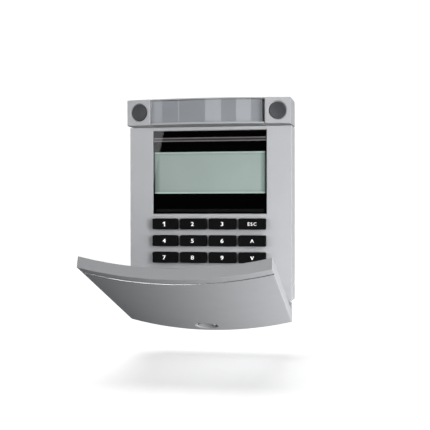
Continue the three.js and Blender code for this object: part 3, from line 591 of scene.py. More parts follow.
def status_lens(side, word):
    r = LENS_RADIUS - LENS_LIP
    shoulder, back = LIP_BACK + 0.1, 3.2
    lens = along_lens(side, [
        (1.24, AXIS_RADIUS), (1.22, r - 4.0), (1.07, r - 2.6), (0.86, r - 1.5), (0.66, r - 0.8),
        (0.58, r - 0.5), (0.62, r - 0.2), (0.8, r), (shoulder, r), (shoulder, LENS_RADIUS),
        (back, LENS_RADIUS), (back, AXIS_RADIUS),
    ])
    guide = peg(side * BUTTON_LENS_X, BAR_MIDDLE, -PROUD - 0.6, 9.2, 2.8)
    lens = join(lens, guide)
    seat(lens, f"status_lens_{word}", f"{word}_button", LENS)


for side, word in ((-1, "left"), (1, "right")):
    bar_button(side, word)
    status_lens(side, word)


def segment_frame():
    half = BUTTON_INNER - FIT
    surface = -PROUD + LABEL_SETBACK
    slot_end = LABEL_RIGHT + 1.4
    plinth = plate(-HALF, HALF, BAR_BOTTOM, BAR_TOP, CORNER, PLINTH_FRONT, PLINTH_BACK, 0.3)
    nose = soften(bowed(-half, half, surface, BAR_BOTTOM, BAR_TOP, flat_back=PLINTH_FRONT + 1), 0.5, 5)
    low, high = BAR_BOTTOM + WALL, BAR_TOP - WALL
    hollow = bowed(-half + WALL, half - WALL, surface + 4, low, high, flat_back=PLINTH_BACK + 1)
    low, high = LABEL_BOTTOM - SLIP, LABEL_TOP + SLIP
    label_seat = bowed(LABEL_LEFT - SLIP, slot_end, surface - 2, low, high, thickness=4)
    release_slot = box(LABEL_RIGHT + 0.2, slot_end, surface - BOW, PLINTH_FRONT, LABEL_BOTTOM, LABEL_TOP)
    body = cut(join(plinth, nose), hollow, label_seat, release_slot)
    holes = []
    for side in (-1, 1):
        holes.append(peg(side * BUTTON_LENS_X, BAR_MIDDLE, 0, PLINTH_BACK + 1, 3.4))
        holes.append(peg(side * POST_X, BAR_MIDDLE, 0, PLINTH_BACK + 1, 1.6, sides=24))
    body = cut(body, *holes)
    seat(body, "segment_frame", "panel", HOUSING)


def wall_slot(x, z, half_x, half_z, border, border_radius):
    """Cutters for a round-ended screw slot through the rear wall and the shallow recess around it."""
    cutters = []
    recess = (border, border_radius, FACE_DEPTH - 0.7)
    for grow, radius, front in ((0, SLOT_END_RADIUS, REAR_FLOOR - 1), recess):
        dx, dz = half_x + grow, half_z + grow
        cutters.append(plate(*around(x, dx), *around(z, dz), radius, front, FACE_DEPTH + 1))
    return cutters


def segment_base():
    body = plate(-HALF, HALF, BAR_BOTTOM, BAR_TOP, CORNER, PLINTH_BACK + FIT, FACE_DEPTH, 0.3, 0.5)
    inside = box(-HALF + WALL, HALF - WALL, PLINTH_BACK, REAR_FLOOR, BAR_BOTTOM + WALL, BAR_TOP - WALL)
    cutters = [inside]
    for x in (-24, 24):
        cutters += wall_slot(x, BAR_MIDDLE, SLOT_LONG, SLOT_SHORT, 1.4, 3.5)
    low, high = BAR_BOTTOM + 3.5, BAR_TOP - 3.5
    for x in (-36, -12, 12, 36):
        cutters.append(plate(*around(x, 4), low, high, 1, FACE_DEPTH - PANEL_DEPTH, FACE_DEPTH + 1))
    body = cut(body, *cutters)
    seat(body, "segment_base", "panel", HOUSING)


def label_pieces():
    front = -PROUD + LABEL_SETBACK + 0.1
    card_front = -PROUD + LABEL_SETBACK + 1.55
    cover = bowed(LABEL_LEFT, LABEL_RIGHT, front, LABEL_BOTTOM, LABEL_TOP, thickness=1.3)
    seat(soften(cover, 0.18, 3), "label_cover", "panel", COVER)
    card = bowed(LABEL_LEFT, LABEL_RIGHT, card_front, LABEL_BOTTOM, LABEL_TOP, thickness=0.3)
    seat(card, "label_card", "panel", CARD)


segment_frame()
segment_base()
label_pieces()
bar_pieces = list(seated)

# ---- housing ----

DIMPLE_BOTTOM, DIMPLE_TOP, DIMPLE_FRONT, DIMPLE_DEPTH = 7.4, 15.0, 10.5, 0.5  # grips in both sides
BOARD_SCREWS = [(-44, 7), (44, 7), (-44, 100.6), (44, 100.6)]


def key_row_middle(row):
    return KEY_TOP - KEY_HEIGHT / 2 - row * KEY_PITCH_Z


def side_dimples():
    dimples = []
    for side in (-1, 1):
        x0, x1 = sorted((side * (HALF - DIMPLE_DEPTH), side * (HALF + 3)))
        dimple = box(x0, x1, DIMPLE_FRONT, FACE_DEPTH - 1, DIMPLE_BOTTOM, DIMPLE_TOP)
        dimples.append(soften(dimple, 0.15, 3))
    return dimples


def hinge_lug(side):
    x0, x1 = sorted((side * LUG_INNER, side * LUG_OUTER))
    centre = (0, HINGE_DEPTH, HINGE_HEIGHT)
    rim = 0.3
    tab = turned("x", centre, [
        (x0, LUG_RADIUS - rim), (x0 + rim, LUG_RADIUS), (x1 - rim, LUG_RADIUS), (x1, LUG_RADIUS - rim),
    ])
    neck = box(x0, x1, HINGE_DEPTH - 1.2, HINGE_DEPTH + 2.8, HINGE_HEIGHT, WALL / 2)
    return cut(join(tab, neck), rod("x", centre, x0 - 1, x1 + 1, PIN_RADIUS + 0.08, sides=32))


def front_housing():
    shell = cut(
        plate(-HALF, HALF, 0, BODY_HEIGHT, CORNER, 0, HOUSING_BACK, EDGE, 0.15, steps=6),
        box(-HALF + WALL, HALF - WALL, WALL, HOUSING_BACK + 1, WALL, BODY_HEIGHT - WALL),
    )
    ledge = box(WINDOW_LEFT - 2, WINDOW_RIGHT + 2, WALL / 2, 3.2, WINDOW_BOTTOM - 1.4, BODY_HEIGHT - WALL / 2)
    ribs = []
    for x in (-49.5, 49.5):
        for z in (20, 40, 60, 80):
            ribs.append(box(*around(x, 0.8), WALL / 2, 9, *around(z, 0.5)))
    shell = join(shell, ledge, *ribs)
    seat_cut = box(WINDOW_LEFT - SLIP, WINDOW_RIGHT + SLIP, -1, 1.2, WINDOW_BOTTOM - SLIP, WINDOW_TOP + SLIP)
    opening = box(WINDOW_LEFT + 0.2, WINDOW_RIGHT - 0.2, -1, 4.2, WINDOW_BOTTOM + 3, WINDOW_TOP - 3)
    shell = cut(shell, seat_cut, opening)
    shell = soften(shell, 0.3, 4, where=lambda p: p.y < 0.05 and abs(p.x) < 40 and 53 < p.z < 106.5)
    reach_z = KEY_HEIGHT / 2 + SLIP
    openings = []
    for row in range(4):
        for x, width in KEY_COLUMNS:
            reach_x, z = width / 2 + SLIP, key_row_middle(row)
            openings.append(plate(*around(x, reach_x), *around(z, reach_z), 0.8, -1, WALL + 1))
    shell = cut(shell, *openings)
    shell = soften(shell, 0.14, 2, where=lambda p: p.y < 0.05 and abs(p.x) < 40 and 5 < p.z < 52)
    fittings = []
    for x, z in BOARD_SCREWS:
        fittings.append(peg(x, z, WALL / 2, BOARD_FRONT - FIT, 3, sides=32))
    boss_front = BOARD_BACK + 2 * FIT
    fittings.append(box(-4, 4, boss_front, 10, WALL / 2, 8))
    fittings.append(box(-4, 4, boss_front, LOCK_SCREW_DEPTH + 1.9, 4.2, 8))
    shell = join(shell, *fittings, hinge_lug(-1), hinge_lug(1))
    holes = [peg(x, z, WALL, BOARD_FRONT, 1.15, sides=24) for x, z in BOARD_SCREWS]
    holes.append(rod("z", (0, LOCK_SCREW_DEPTH, 0), 3, 9, 1.45, sides=24))
    pad_hole = [(-1, PAD_RADIUS + 1.3), (0.3, PAD_RADIUS + SLIP), (BOARD_FRONT, PAD_RADIUS + SLIP)]
    holes.append(turned("y", (0, 0, PAD_HEIGHT), pad_hole, 40))
    shell = cut(shell, *holes, *side_dimples())
    seat(shell, "front_housing", "panel", HOUSING)


def wall_base():
    rim_front = HOUSING_BACK + FIT
    rim = plate(-HALF, HALF, 0, BODY_HEIGHT, CORNER, rim_front, FACE_DEPTH, 0.15, 0.5)
    rim = cut(rim, box(-HALF + WALL, HALF - WALL, rim_front - 1, REAR_FLOOR, WALL, BODY_HEIGHT - WALL))
    inset = WALL + FIT
    inner = inset + 1.2
    tongue = cut(
        box(-HALF + inset, HALF - inset, rim_front - 2.4, rim_front + 1, inset, BODY_HEIGHT - inset),
        box(-HALF + inner, HALF - inner, rim_front - 3, rim_front + 2, inner, BODY_HEIGHT - inner),
        box(-6, 6, rim_front - 3, rim_front, 0, 10),
    )
    shoulder = cut(
        box(-HALF + 1, HALF - 1, rim_front + 0.4, rim_front + 1.4, 1, BODY_HEIGHT - 1),
        box(-HALF + inner, HALF - inner, rim_front, rim_front + 2, inner, BODY_HEIGHT - inner),
        box(-6, 6, rim_front, rim_front + 2, WALL, 10),
    )
    sill_top, sill_round = -0.4, 2.2
    sill_section = [
        (SILL_FRONT, sill_top), (rim_front, sill_top), (rim_front, WALL), (FACE_DEPTH, WALL),
        (FACE_DEPTH, -SILL_DROP),
    ]
    for step in range(7):
        angle = math.pi / 2 * step / 6
        depth = SILL_FRONT + sill_round - sill_round * math.sin(angle)
        sill_section.append((depth, -SILL_DROP + sill_round - sill_round * math.cos(angle)))
    sill = prism(sill_section, "x", -SILL_HALF, SILL_HALF)
    sill_floor = -SILL_DROP + WALL
    sill = cut(sill, box(-SILL_HALF + WALL, SILL_HALF - WALL, SILL_FRONT + WALL, REAR_FLOOR, sill_floor, 0))
    base = join(rim, shoulder, tongue, sill)
    bars = [box(-47, 47, REAR_FLOOR - 1.6, REAR_FLOOR + 1, z, z + 1.2) for z in (12, 52, 96)]
    base = join(base, *bars)
    cutters = []
    for z, half_x, half_z in ((84, SLOT_SHORT, SLOT_LONG), (22, SLOT_LONG, SLOT_SHORT)):
        for x in (-32, 32):
            cutters += wall_slot(x, z, half_x, half_z, 1.6, 3.7)
    cutters.append(plate(-15, 15, 28, 48, 2, REAR_FLOOR - 1, FACE_DEPTH + 1))
    cutters.append(peg(TAMPER_X, TAMPER_Z, REAR_FLOOR - 1, FACE_DEPTH + 1, 2.2, sides=32))
    for x in (-8, 8):
        cutters.append(plate(*around(x, 6), 99, 104, 0.6, FACE_DEPTH - 0.9, FACE_DEPTH + 1))
    for x0, x1, z0, z1 in ((-46, -20, 30, 50), (20, 46, 30, 50), (-24, 16, 58, 70), (-24, 24, 76, 92)):
        cutters.append(plate(x0, x1, z0, z1, 1.5, FACE_DEPTH - PANEL_DEPTH, FACE_DEPTH + 1))
    cutters.append(rod("z", (0, LOCK_SCREW_DEPTH, 0), -SILL_DROP - 1, sill_floor + 0.4, 2.7, sides=32))
    cutters.append(rod("z", (0, LOCK_SCREW_DEPTH, 0), -SILL_DROP, WALL + 1, 1.7, sides=24))
    base = cut(base, *cutters, *side_dimples())
    seat(base, "wall_base", "panel", HOUSING)


front_housing()
wall_base()

# ---- display window ----

LINE_LOW, LINE_HIGH = 98.92, 100.72  # the two lines printed across the top of the window


def window_pieces():
    lens = plate(
        WINDOW_LEFT, WINDOW_RIGHT, WINDOW_BOTTOM, WINDOW_TOP, 0.3, 0.05, 0.6,
        fillet=0.1, rear_fillet=0.05, steps=3, arc=4,
    )
    seat(lens, "window_lens", "panel", WINDOW)
    left, right = WINDOW_LEFT + 0.1, WINDOW_RIGHT - 0.1
    mask = cut(
        box(left, right, 0.7, 0.95, WINDOW_BOTTOM + 0.1, WINDOW_TOP - 0.1),
        plate(SCREEN_LEFT, SCREEN_RIGHT, SCREEN_BOTTOM, SCREEN_TOP, 0.3, 0.5, 2, arc=4),
    )
    seat(mask, "display_mask", "panel", FILM)
    print_front, print_back = 0.63, 0.68
    band = box(left, right, print_front + 0.03, print_back, LINE_LOW, LINE_HIGH)
    seat(band, "mask_band", "panel", FILM_BAND, extra=True)
    lines = [box(left, right, print_front, print_back, *around(z, 0.35)) for z in (LINE_LOW, LINE_HIGH)]
    seat(gather(*lines), "mask_lines", "panel", FILM_LINE, extra=True)
    strip = box(left + 1.4, right - 1.4, print_front, print_back, WINDOW_BOTTOM + 1.2, WINDOW_BOTTOM + 3.0)
    seat(strip, "mask_foot_strip", "panel", FILM_FOOT, extra=True)
    glass = box(SCREEN_LEFT, SCREEN_RIGHT, 1.4, 3.2, SCREEN_BOTTOM - 1.6, SCREEN_TOP + 1.6)
    seat(soften(glass, 0.12, 2), "lcd_glass", "panel", DISPLAY)


window_pieces()

# ---- keys ----

FLANGE_FRONT = WALL + FIT
FLANGE_BACK = FLANGE_FRONT + 0.7
KEY_NAMES = [
    ["key_1", "key_2", "key_3", "key_esc"],
    ["key_4", "key_5", "key_6", "key_up"],
    ["key_7", "key_8", "key_9", "key_down"],
    ["key_star", "key_0", "key_hash", "key_enter"],
]
LEGEND_SHIFT = (-0.35, -0.35, -0.1, 0.1)  # legends sit a little beside the key's middle
INK = 0.05  # thickness of a legend
INK_DEPTH = -KEY_PROUD - 0.02


def key_cap(x, z, width):
    left, right = x - width / 2, x + width / 2
    low, high = z - KEY_HEIGHT / 2, z + KEY_HEIGHT / 2
    cap = plate(left, right, low, high, 0.55, -KEY_PROUD, FLANGE_BACK, fillet=0.25, steps=4, arc=6)
    flange = box(left, right, FLANGE_FRONT, FLANGE_BACK, low - 1.1, high + 1.1)
    return join(cap, flange)


def text_mesh(words, size, x, z, bold, spacing=1.0, stretch=1.0):
    """Raised lettering on a key's face, as a closed mesh."""
    data = bpy.data.curves.new("legend", "FONT")
    data.body = words
    data.size = size
    data.align_x, data.align_y = "CENTER", "CENTER"
    data.extrude = INK / 2
    data.offset = bold
    data.space_character = spacing
    data.resolution_u = 4
    source = link("legend", data)
    mesh = bpy.data.meshes.new_from_object(source.evaluated_get(bpy.context.evaluated_depsgraph_get()))
    bpy.data.objects.remove(source)
    obj = link("legend", mesh)
    low = Vector([min(v.co[i] for v in mesh.vertices) for i in range(3)])
    high = Vector([max(v.co[i] for v in mesh.vertices) for i in range(3)])
    centre = (low + high) / 2
    upright = Matrix(((stretch, 0, 0, x), (0, 0, -1, INK_DEPTH), (0, 1, 0, z), (0, 0, 0, 1)))
    mesh.transform(upright @ Matrix.Translation(-centre))
    close_seams(mesh, turn_outwards=True)
    return obj


def stroke(points, width, x, z):
    """A flat pen stroke through points."""
    bars = []
    for (ax, az), (bx, bz) in zip(points, points[1:]):
        length = math.hypot(bx - ax, bz - az)
        bar = box(-width / 2, length + width / 2, -INK / 2, INK / 2, -width / 2, width / 2)
        turn = Matrix.Rotation(-math.atan2(bz - az, bx - ax), 4, "Y")
        bar.data.transform(Matrix.Translation((x + ax, INK_DEPTH, z + az)) @ turn)
        bars.append(bar)
    return join(bars[0], *bars[1:])


def spoke(degrees):
    """One bar of the star, through its middle."""
    dx, dz = 0.95 * math.cos(math.radians(degrees)), 0.95 * math.sin(math.radians(degrees))
    return [(-dx, -dz), (dx, dz)]


DRAWN_LEGENDS = {  # pen width, then the strokes, each through points around the middle of the key
    "key_1": (0.6, [[(-0.6, 0.65), (0.2, 1.1), (0.2, -1.15)]]),
    "key_up": (0.42, [[(-0.8, -0.85), (0, 0.95), (0.8, -0.85)]]),
    "key_down": (0.42, [[(-0.8, 0.85), (0, -0.95), (0.8, 0.85)]]),
    "key_enter": (0.5, [
        [(2.0, 1.2), (2.0, -0.4), (-1.8, -0.4)],
        [(-0.8, 0.6), (-1.9, -0.4), (-0.8, -1.4)],
    ]),
    "key_star": (0.34, [spoke(30), spoke(90), spoke(150)]),
    "key_hash": (0.3, [
        [(-1.1, -0.45), (1.1, -0.45)],
        [(-1.1, 0.45), (1.1, 0.45)],
        [(-0.45 - 0.1, -1.1), (-0.45 + 0.1, 1.1)],
        [(0.45 - 0.1, -1.1), (0.45 + 0.1, 1.1)],
    ]),
}


def legend(name, x, z):
    if name in DRAWN_LEGENDS:
        width, lines = DRAWN_LEGENDS[name]
        marks = [stroke(points, width, x, z) for points in lines]
        return join(marks[0], *marks[1:])
    if name == "key_esc":
        return text_mesh("ESC", 2.9, x, z, bold=0.01, spacing=1.3)
    return text_mesh(name[-1], 3.5, x, z, bold=0.02, stretch=1.2)


for row, names in enumerate(KEY_NAMES):
    z = key_row_middle(row)
    for (x, width), shift, name in zip(KEY_COLUMNS, LEGEND_SHIFT, names):
        seat(key_cap(x, z, width), name, f"{name}_cap", KEYCAP)
        seat(legend(name, x + shift, z), f"{name}_legend", f"{name}_cap", LEGEND, extra=True)

# ---- flap, drawn shut ----

GROOVE_LINE = FLAP_TOP - 8.6
GROOVE_HALF = 1.0
LIP_REACH = 0.5
LINER_THICKNESS = 1.2
EAR_SETBACK = 0.05  # keeps the end faces of the knuckle, its neck and the flap from lying in one plane


def flap_shell():
    skin = bowed(-FLAP_HALF, FLAP_HALF, FLAP_FRONT, -FLAP_TAIL, FLAP_TOP, thickness=FLAP_THICKNESS, steps=64)
    skin = soften(skin, 0.35, 4)
    hollow = bowed(
        -FLAP_HALF + WALL, FLAP_HALF - WALL, FLAP_FRONT + WALL, -FLAP_TAIL + WALL, FLAP_TOP - WALL,
        thickness=FLAP_THICKNESS, steps=64,
    )
    low, high = around(GROOVE_LINE, GROOVE_HALF)
    groove = bowed(-FLAP_HALF - 1, FLAP_HALF + 1, FLAP_FRONT - 1, low, high, thickness=1.8, steps=64)
    shell = cut(skin, hollow, soften(groove, 0.12, 2))
    for side in (-1, 1):
        ear = sorted((side * (LUG_OUTER + 0.4), side * (FLAP_HALF - EAR_SETBACK)))
        notch = sorted((side * (LUG_INNER - 0.4), side * (LUG_OUTER + 0.4)))
        pin_hole = sorted((side * LUG_OUTER, side * (FLAP_HALF - PIN_COVER)))
        shell = cut(shell, rod("x", (0, 0, 0), *notch, LUG_RADIUS + 0.7))
        knuckle = turned("x", (0, 0, 0), [
            (ear[0], 2.85), (ear[0] + 0.25, 3.1), (ear[1] - 0.25, 3.1), (ear[1], 2.85),
        ])
        neck = box(ear[0] + EAR_SETBACK, ear[1] - EAR_SETBACK, FLAP_BACK - 1, 0, -3.0, 3.0)
        shell = join(shell, knuckle, neck)
        shell = cut(shell, rod("x", (0, 0, 0), *pin_hole, PIN_RADIUS + FIT, sides=32))
    apex = FLAP_FRONT - BOW
    r = EMBLEM_RADIUS
    dish = turned("y", (0, 0, EMBLEM_HEIGHT), [
        (apex - 2, r + 3.2), (apex, r + 2.3), (apex + 0.15, r + 1.7), (apex + 0.45, r + 1.1),
        (apex + 0.9, r + 0.6), (apex + 1.3, r + 0.25), (apex + 4, r + 0.25),
    ], 72)
    shell = cut(shell, dish)
    seat(shell, "flap_shell", "flap", FLAP, place=FLAP_TO_FRAME)


def groove_lip():
    """The rolled, polished edge on the hinge side of the groove."""
    edge = GROOVE_LINE - GROOVE_HALF
    low, high = edge - 0.3, edge + LIP_REACH
    lip = bowed(-FLAP_HALF, FLAP_HALF, FLAP_FRONT + 0.02, low, high, thickness=0.8, steps=64)
    seat(soften(lip, 0.34, 5), "flap_groove_lip", "flap", FLAP_LIP, extra=True, place=FLAP_TO_FRAME)


def flap_liner():
    inset = WALL + FIT
    back = FLAP_BACK - 0.4
    liner = bowed(
        -FLAP_HALF + inset, FLAP_HALF - inset, back - LINER_THICKNESS, LUG_RADIUS + 0.9, FLAP_TOP - inset,
        thickness=LINER_THICKNESS,
    )
    liner = soften(liner, 0.3, 3)
    panel = bowed(-FLAP_HALF + 9, FLAP_HALF - 9, back - 0.35, 22, FLAP_TOP - 10, thickness=2)
    stem_hole = peg(0, EMBLEM_HEIGHT, FLAP_BACK - BOW - 3, FLAP_BACK + 1, 2.4)
    liner = cut(liner, soften(panel, 0.2, 3), stem_hole)
    seat(liner, "flap_liner", "flap", LINER, place=FLAP_TO_FRAME)


def activation_button():
    apex = FLAP_FRONT - BOW
    r = EMBLEM_RADIUS
    flange = apex + WALL + FIT + 0.1
    stem_end = -HINGE_DEPTH - 0.6 - 2 * FIT
    button = turned("y", (0, 0, EMBLEM_HEIGHT), [
        (apex + 1.35, AXIS_RADIUS), (apex + 1.3, r - 4.2), (apex + 1.1, r - 2.6), (apex + 0.8, r - 1.6),
        (apex + 0.55, r - 0.9), (apex + 0.5, r - 0.55), (apex + 0.58, r - 0.2), (apex + 0.8, r),
        (flange, r), (flange, r + 1.2), (flange + 0.8, r + 1.2), (flange + 0.8, 1.8),
        (stem_end - 0.3, 1.8), (stem_end, 1.5), (stem_end, AXIS_RADIUS),
    ], 72)
    seat(button, "activation_button", "round_button", EMBLEM, place=FLAP_TO_FRAME)


flap_liner()
before_flap = len(seated)
flap_shell()
groove_lip()
activation_button()
flap_pieces = seated[before_flap:]

# ---- electronics and fasteners inside ----

BOARD_HALF = 47
PART_FRONT = BOARD_BACK + SLIP  # parts stand on the rear of the main board from here
LEDGE_BACK = 3.2
LCD_MARGIN = 1.6
SEGMENT_BOARD_FRONT = 12.4
KEY_TRAVEL = 1.0
MAT_BUMP_TOP = FLANGE_BACK + KEY_TRAVEL + 0.1
MAT_FRONT = MAT_BUMP_TOP + 0.4


def soft_box(x0, x1, y0, y1, z0, z1, width=0.2, segments=2):
    return soften(box(x0, x1, y0, y1, z0, z1), width, segments)


def screw(name, axis, at, head, tip, shank, head_radius, head_height):
    """A pan-head screw: domed head, cross recess and a threaded shank that ends in a point."""
    way = 1 if tip > head else -1
    under_head = head + way * head_height
    dome = way * head_height * 0.7
    profile = [(head, AXIS_RADIUS)]
    for step in range(1, 6):
        angle = math.pi / 2 * step / 5
        profile.append((head + dome * (1 - math.cos(angle)), head_radius * math.sin(angle)))
    profile += [(under_head, head_radius), (under_head, shank)]
    pitch, level = 0.7, under_head
    while abs(tip - level) > 2 * pitch:
        profile += [(level + way * pitch * 0.5, shank * 0.8), (level + way * pitch, shank)]
        level += way * pitch
    profile += [(tip - way * 0.4, shank * 0.6), (tip, AXIS_RADIUS)]
    body = turned(axis, at, profile, 32)
    a, b = across(axis, at)
    long, short = head_radius * 0.62, 0.32
    recess_ends = sorted((head - way, head + way * head_height * 0.6))
    for da, db in ((long, short), (short, long)):
        outline = [(a - da, b - db), (a + da, b - db), (a + da, b + db), (a - da, b + db)]
        body = cut(body, prism(outline, axis, *recess_ends))
    seat(body, name, "panel", STEEL)


def main_board():
    board = plate(-BOARD_HALF, BOARD_HALF, 3.4, 103.4, 1.2, BOARD_FRONT, BOARD_BACK, arc=4)
    holes = [peg(x, z, BOARD_FRONT - 1, BOARD_BACK + 1, 1.4, sides=32) for x, z in BOARD_SCREWS]
    seat(cut(board, *holes), "main_board", "panel", BOARD)
    rings = []
    for x, z in BOARD_SCREWS:
        ring = peg(x, z, BOARD_BACK - 0.05, BOARD_BACK + 0.06, 2.7, sides=40)
        rings.append(cut(ring, peg(x, z, *around(BOARD_BACK, 1), 1.5, sides=40)))
    seat(gather(*rings), "board_pads", "panel", TIN, extra=True)


def small_parts():
    """Chip resistors and capacitors in short rows beside the controller, each with two tinned ends."""
    bodies, ends = [], []
    rows = [(x, z) for x in (22, 25.5, 29, 32.5) for z in (70.5, 73.5, 76.5, 79.5)]
    rows += [(x, z) for x in (-12, -8.5, -5) for z in (66, 69, 72)]
    front, back = BOARD_BACK + 0.02, BOARD_BACK + 0.6
    for x, z in rows:
        bodies.append(soft_box(*around(x, 0.6), front, back, *around(z, 0.45), 0.06, 1))
        for side in (-1, 1):
            x0, x1 = sorted((x + side * 0.62, x + side * 1.0))
            ends.append(soft_box(x0, x1, front, back + 0.02, *around(z, 0.47), 0.06, 1))
    seat(gather(*bodies), "small_parts", "panel", BLACK, extra=True)
    seat(gather(*ends), "small_part_ends", "panel", TIN, extra=True)


def reader_coil():
    """Flat coil of enamelled wire, wound as concentric turns."""
    turns = []
    front, wire = PART_FRONT, 0.6
    for turn in range(4):
        inset = turn * 0.66
        x, low, high = 40 - inset, 12 + inset, 58 - inset
        outer = plate(-x, x, low, high, 4 - inset, front, front + 1.1, 0.2, 0.2, steps=3)
        inner = plate(wire - x, x - wire, low + wire, high - wire, 4 - wire - inset, front - 1, front + 2)
        turns.append(cut(outer, inner))
    seat(gather(*turns), "reader_coil", "panel", COPPER)


def buzzer():
    at, foot, top = (-28, 0, 82), PART_FRONT, PART_FRONT + 5.2
    can = turned("y", at, [
        (foot, 6.5), (foot + 0.5, 6.5), (foot + 0.7, 6.3), (top - 0.5, 6.3), (top - 0.15, 6.15), (top, 5.8),
        (top, 2.2), (top - 0.3, 1.9), (top - 0.3, AXIS_RADIUS),
    ], 64)
    can = cut(can, rod("y", at, top - 1.2, top + 1, 1.0, sides=32))
    seat(can, "buzzer", "panel", BLACK)


def terminal_block():
    pitch, ways = 5, 4
    half = pitch * ways / 2
    foot, screw_z = PART_FRONT, 34.5
    body = soft_box(-half, half, foot, foot + 8, 30, 38, 0.35, 3)
    cutters, screws = [], []
    for way in range(ways):
        x = -half + pitch * (way + 0.5)
        cutters.append(peg(x, screw_z, foot + 5.4, foot + 9, 1.8, sides=32))
        cutters.append(soft_box(*around(x, 1.5), foot + 1.4, foot + 4.6, 29, 35, 0.3))
        head = turned("y", (x, 0, screw_z), [
            (foot + 5.42, 1.7), (foot + 6.6, 1.7), (foot + 6.9, 1.4), (foot + 6.9, AXIS_RADIUS),
        ], 32)
        slot = box(*around(x, 2), foot + 6.2, foot + 8, *around(screw_z, 0.3))
        screws.append(cut(head, slot))
    for x in (-pitch, 0, pitch):
        cutters.append(box(*around(x, 0.15), foot + 7.6, foot + 9, 29, 39))
    seat(cut(body, *cutters), "terminal_block", "panel", CONNECTOR)
    seat(gather(*screws), "terminal_screws", "panel", STEEL, extra=True)


def controller_chip():
    low, high = PART_FRONT, PART_FRONT + 1.4
    body = soft_box(4.9, 15.1, low + 0.15, high, 70.9, 81.1, 0.18, 2)
    body = cut(body, peg(6.1, 80, high - 0.12, high + 1, 0.45, sides=24))
    seat(body, "controller_chip", "panel", BLACK)
    section = [
        (0, 0.75), (0.45, 0.75), (0.62, 0.6), (0.62, 0.12), (1.0, 0.12), (1.0, 0.0), (0.5, 0.0), (0.5, 0.55),
        (0, 0.63),
    ]
    leads = []
    for index in range(11):
        along = -4.5 + index * 0.9
        for quarter in range(4):
            lead = prism(section, "z", *around(along, 0.16))
            turn = Matrix.Rotation(quarter * math.pi / 2, 4, "Y")
            lead.data.transform(Matrix.Translation((10, low, 76)) @ turn @ Matrix.Translation((5.05, 0, 0)))
            leads.append(lead)
    seat(gather(*leads), "chip_leads", "panel", TIN, extra=True)


def bus_header():
    foot = PART_FRONT
    shell = soft_box(-7, 7, foot, foot + 6, 94, 99, 0.25, 2)
    well = box(-5.8, 5.8, foot + 1.4, foot + 7, 95.2, 97.8)
    key_slot = box(-1.4, 1.4, foot + 3, foot + 7, 93, 96)
    seat(cut(shell, well, key_slot), "bus_header", "panel", WHITE)
    pins = []
    for x in (-4.5, -1.5, 1.5, 4.5):
        pins.append(soft_box(*around(x, 0.3), foot + 1.2, foot + 5, 96.2, 96.8, 0.1, 1))
    seat(gather(*pins), "header_pins", "panel", TIN, extra=True)


def tamper_parts():
    x, z, foot = TAMPER_X, TAMPER_Z, PART_FRONT
    case = soft_box(*around(x, 3.2), foot, foot + 4, *around(z, 3.2), 0.25, 2)
    case = cut(case, peg(x, z, foot + 1, foot + 5, 1.9, sides=40))
    seat(case, "tamper_switch", "panel", BLACK)
    tip = FACE_DEPTH - 0.1
    plunger = turned("y", (x, 0, z), [
        (foot + 1.4, 1.3), (foot + 1.6, 1.5), (tip - 1.0, 1.5), (tip - 0.5, 1.35), (tip - 0.15, 0.9),
        (tip, 0.4), (tip, AXIS_RADIUS),
    ], 40)
    seat(plunger, "tamper_plunger", "tamper_pin", WHITE)


def activation_pad():
    r = PAD_RADIUS
    stem = turned("y", (0, 0, PAD_HEIGHT), [
        (0.02, AXIS_RADIUS), (0.0, r - 0.9), (0.08, r - 0.4), (0.35, r), (FLANGE_BACK, r),
    ], 48)
    arm = box(-4.2, 4.2, FLANGE_FRONT, FLANGE_BACK, WALL + FIT, PAD_HEIGHT + 2.4)
    seat(join(stem, arm), "activation_pad", "pad", HOUSING)
    front = FLANGE_BACK + KEY_TRAVEL + FIT
    switch = soft_box(-2.2, 2.2, front + 0.4, BOARD_FRONT - SLIP, PAD_HEIGHT - 0.8, PAD_HEIGHT + 2.2, 0.12)
    dome = peg(0, PAD_HEIGHT + 0.7, front, front + 0.6, 0.9, 1.1, sides=32)
    seat(join(switch, dome), "activation_switch", "panel", BLACK)


def display_carrier():
    left, right = SCREEN_LEFT - SLIP, SCREEN_RIGHT + SLIP
    bottom, top = SCREEN_BOTTOM - LCD_MARGIN, SCREEN_TOP + LCD_MARGIN
    rim, back = 2.4, BOARD_FRONT - SLIP
    holder = plate(
        left - rim, right + rim, bottom - rim, top + rim, 0.6, LEDGE_BACK + SLIP, back, 0.2, 0.2,
    )
    holder = cut(holder, box(left, right, LEDGE_BACK, BOARD_FRONT, bottom - SLIP, top + SLIP))
    seat(holder, "lcd_holder", "panel", BLACK)
    guide = soft_box(SCREEN_LEFT, SCREEN_RIGHT, 3.5, back, bottom, top, 0.2)
    seat(guide, "backlight_guide", "panel", WHITE)


def keypad_mat():
    """Rubber sheet with a collapsing dome behind each key."""
    left = KEY_COLUMNS[0][0] - KEY_COLUMNS[0][1] / 2 - 2
    right = KEY_COLUMNS[-1][0] + KEY_COLUMNS[-1][1] / 2 + 2
    bottom, top = key_row_middle(3) - KEY_HEIGHT / 2 - 2, KEY_TOP + 2
    sheet = plate(left, right, bottom, top, 1.5, MAT_FRONT, BOARD_FRONT - SLIP, 0.15, 0.1, steps=2, arc=5)
    domes = []
    for row in range(4):
        for x, width in KEY_COLUMNS:
            domes.append(turned("y", (x, 0, key_row_middle(row)), [
                (MAT_BUMP_TOP, AXIS_RADIUS), (MAT_BUMP_TOP, 1.7), (MAT_BUMP_TOP + 0.1, 2.0),
                (MAT_FRONT - 0.05, 2.4), (MAT_FRONT + 0.1, 2.7), (MAT_FRONT + 0.2, 2.7),
            ], 32))
    seat(join(sheet, *domes), "keypad_mat", "panel", SILICONE)


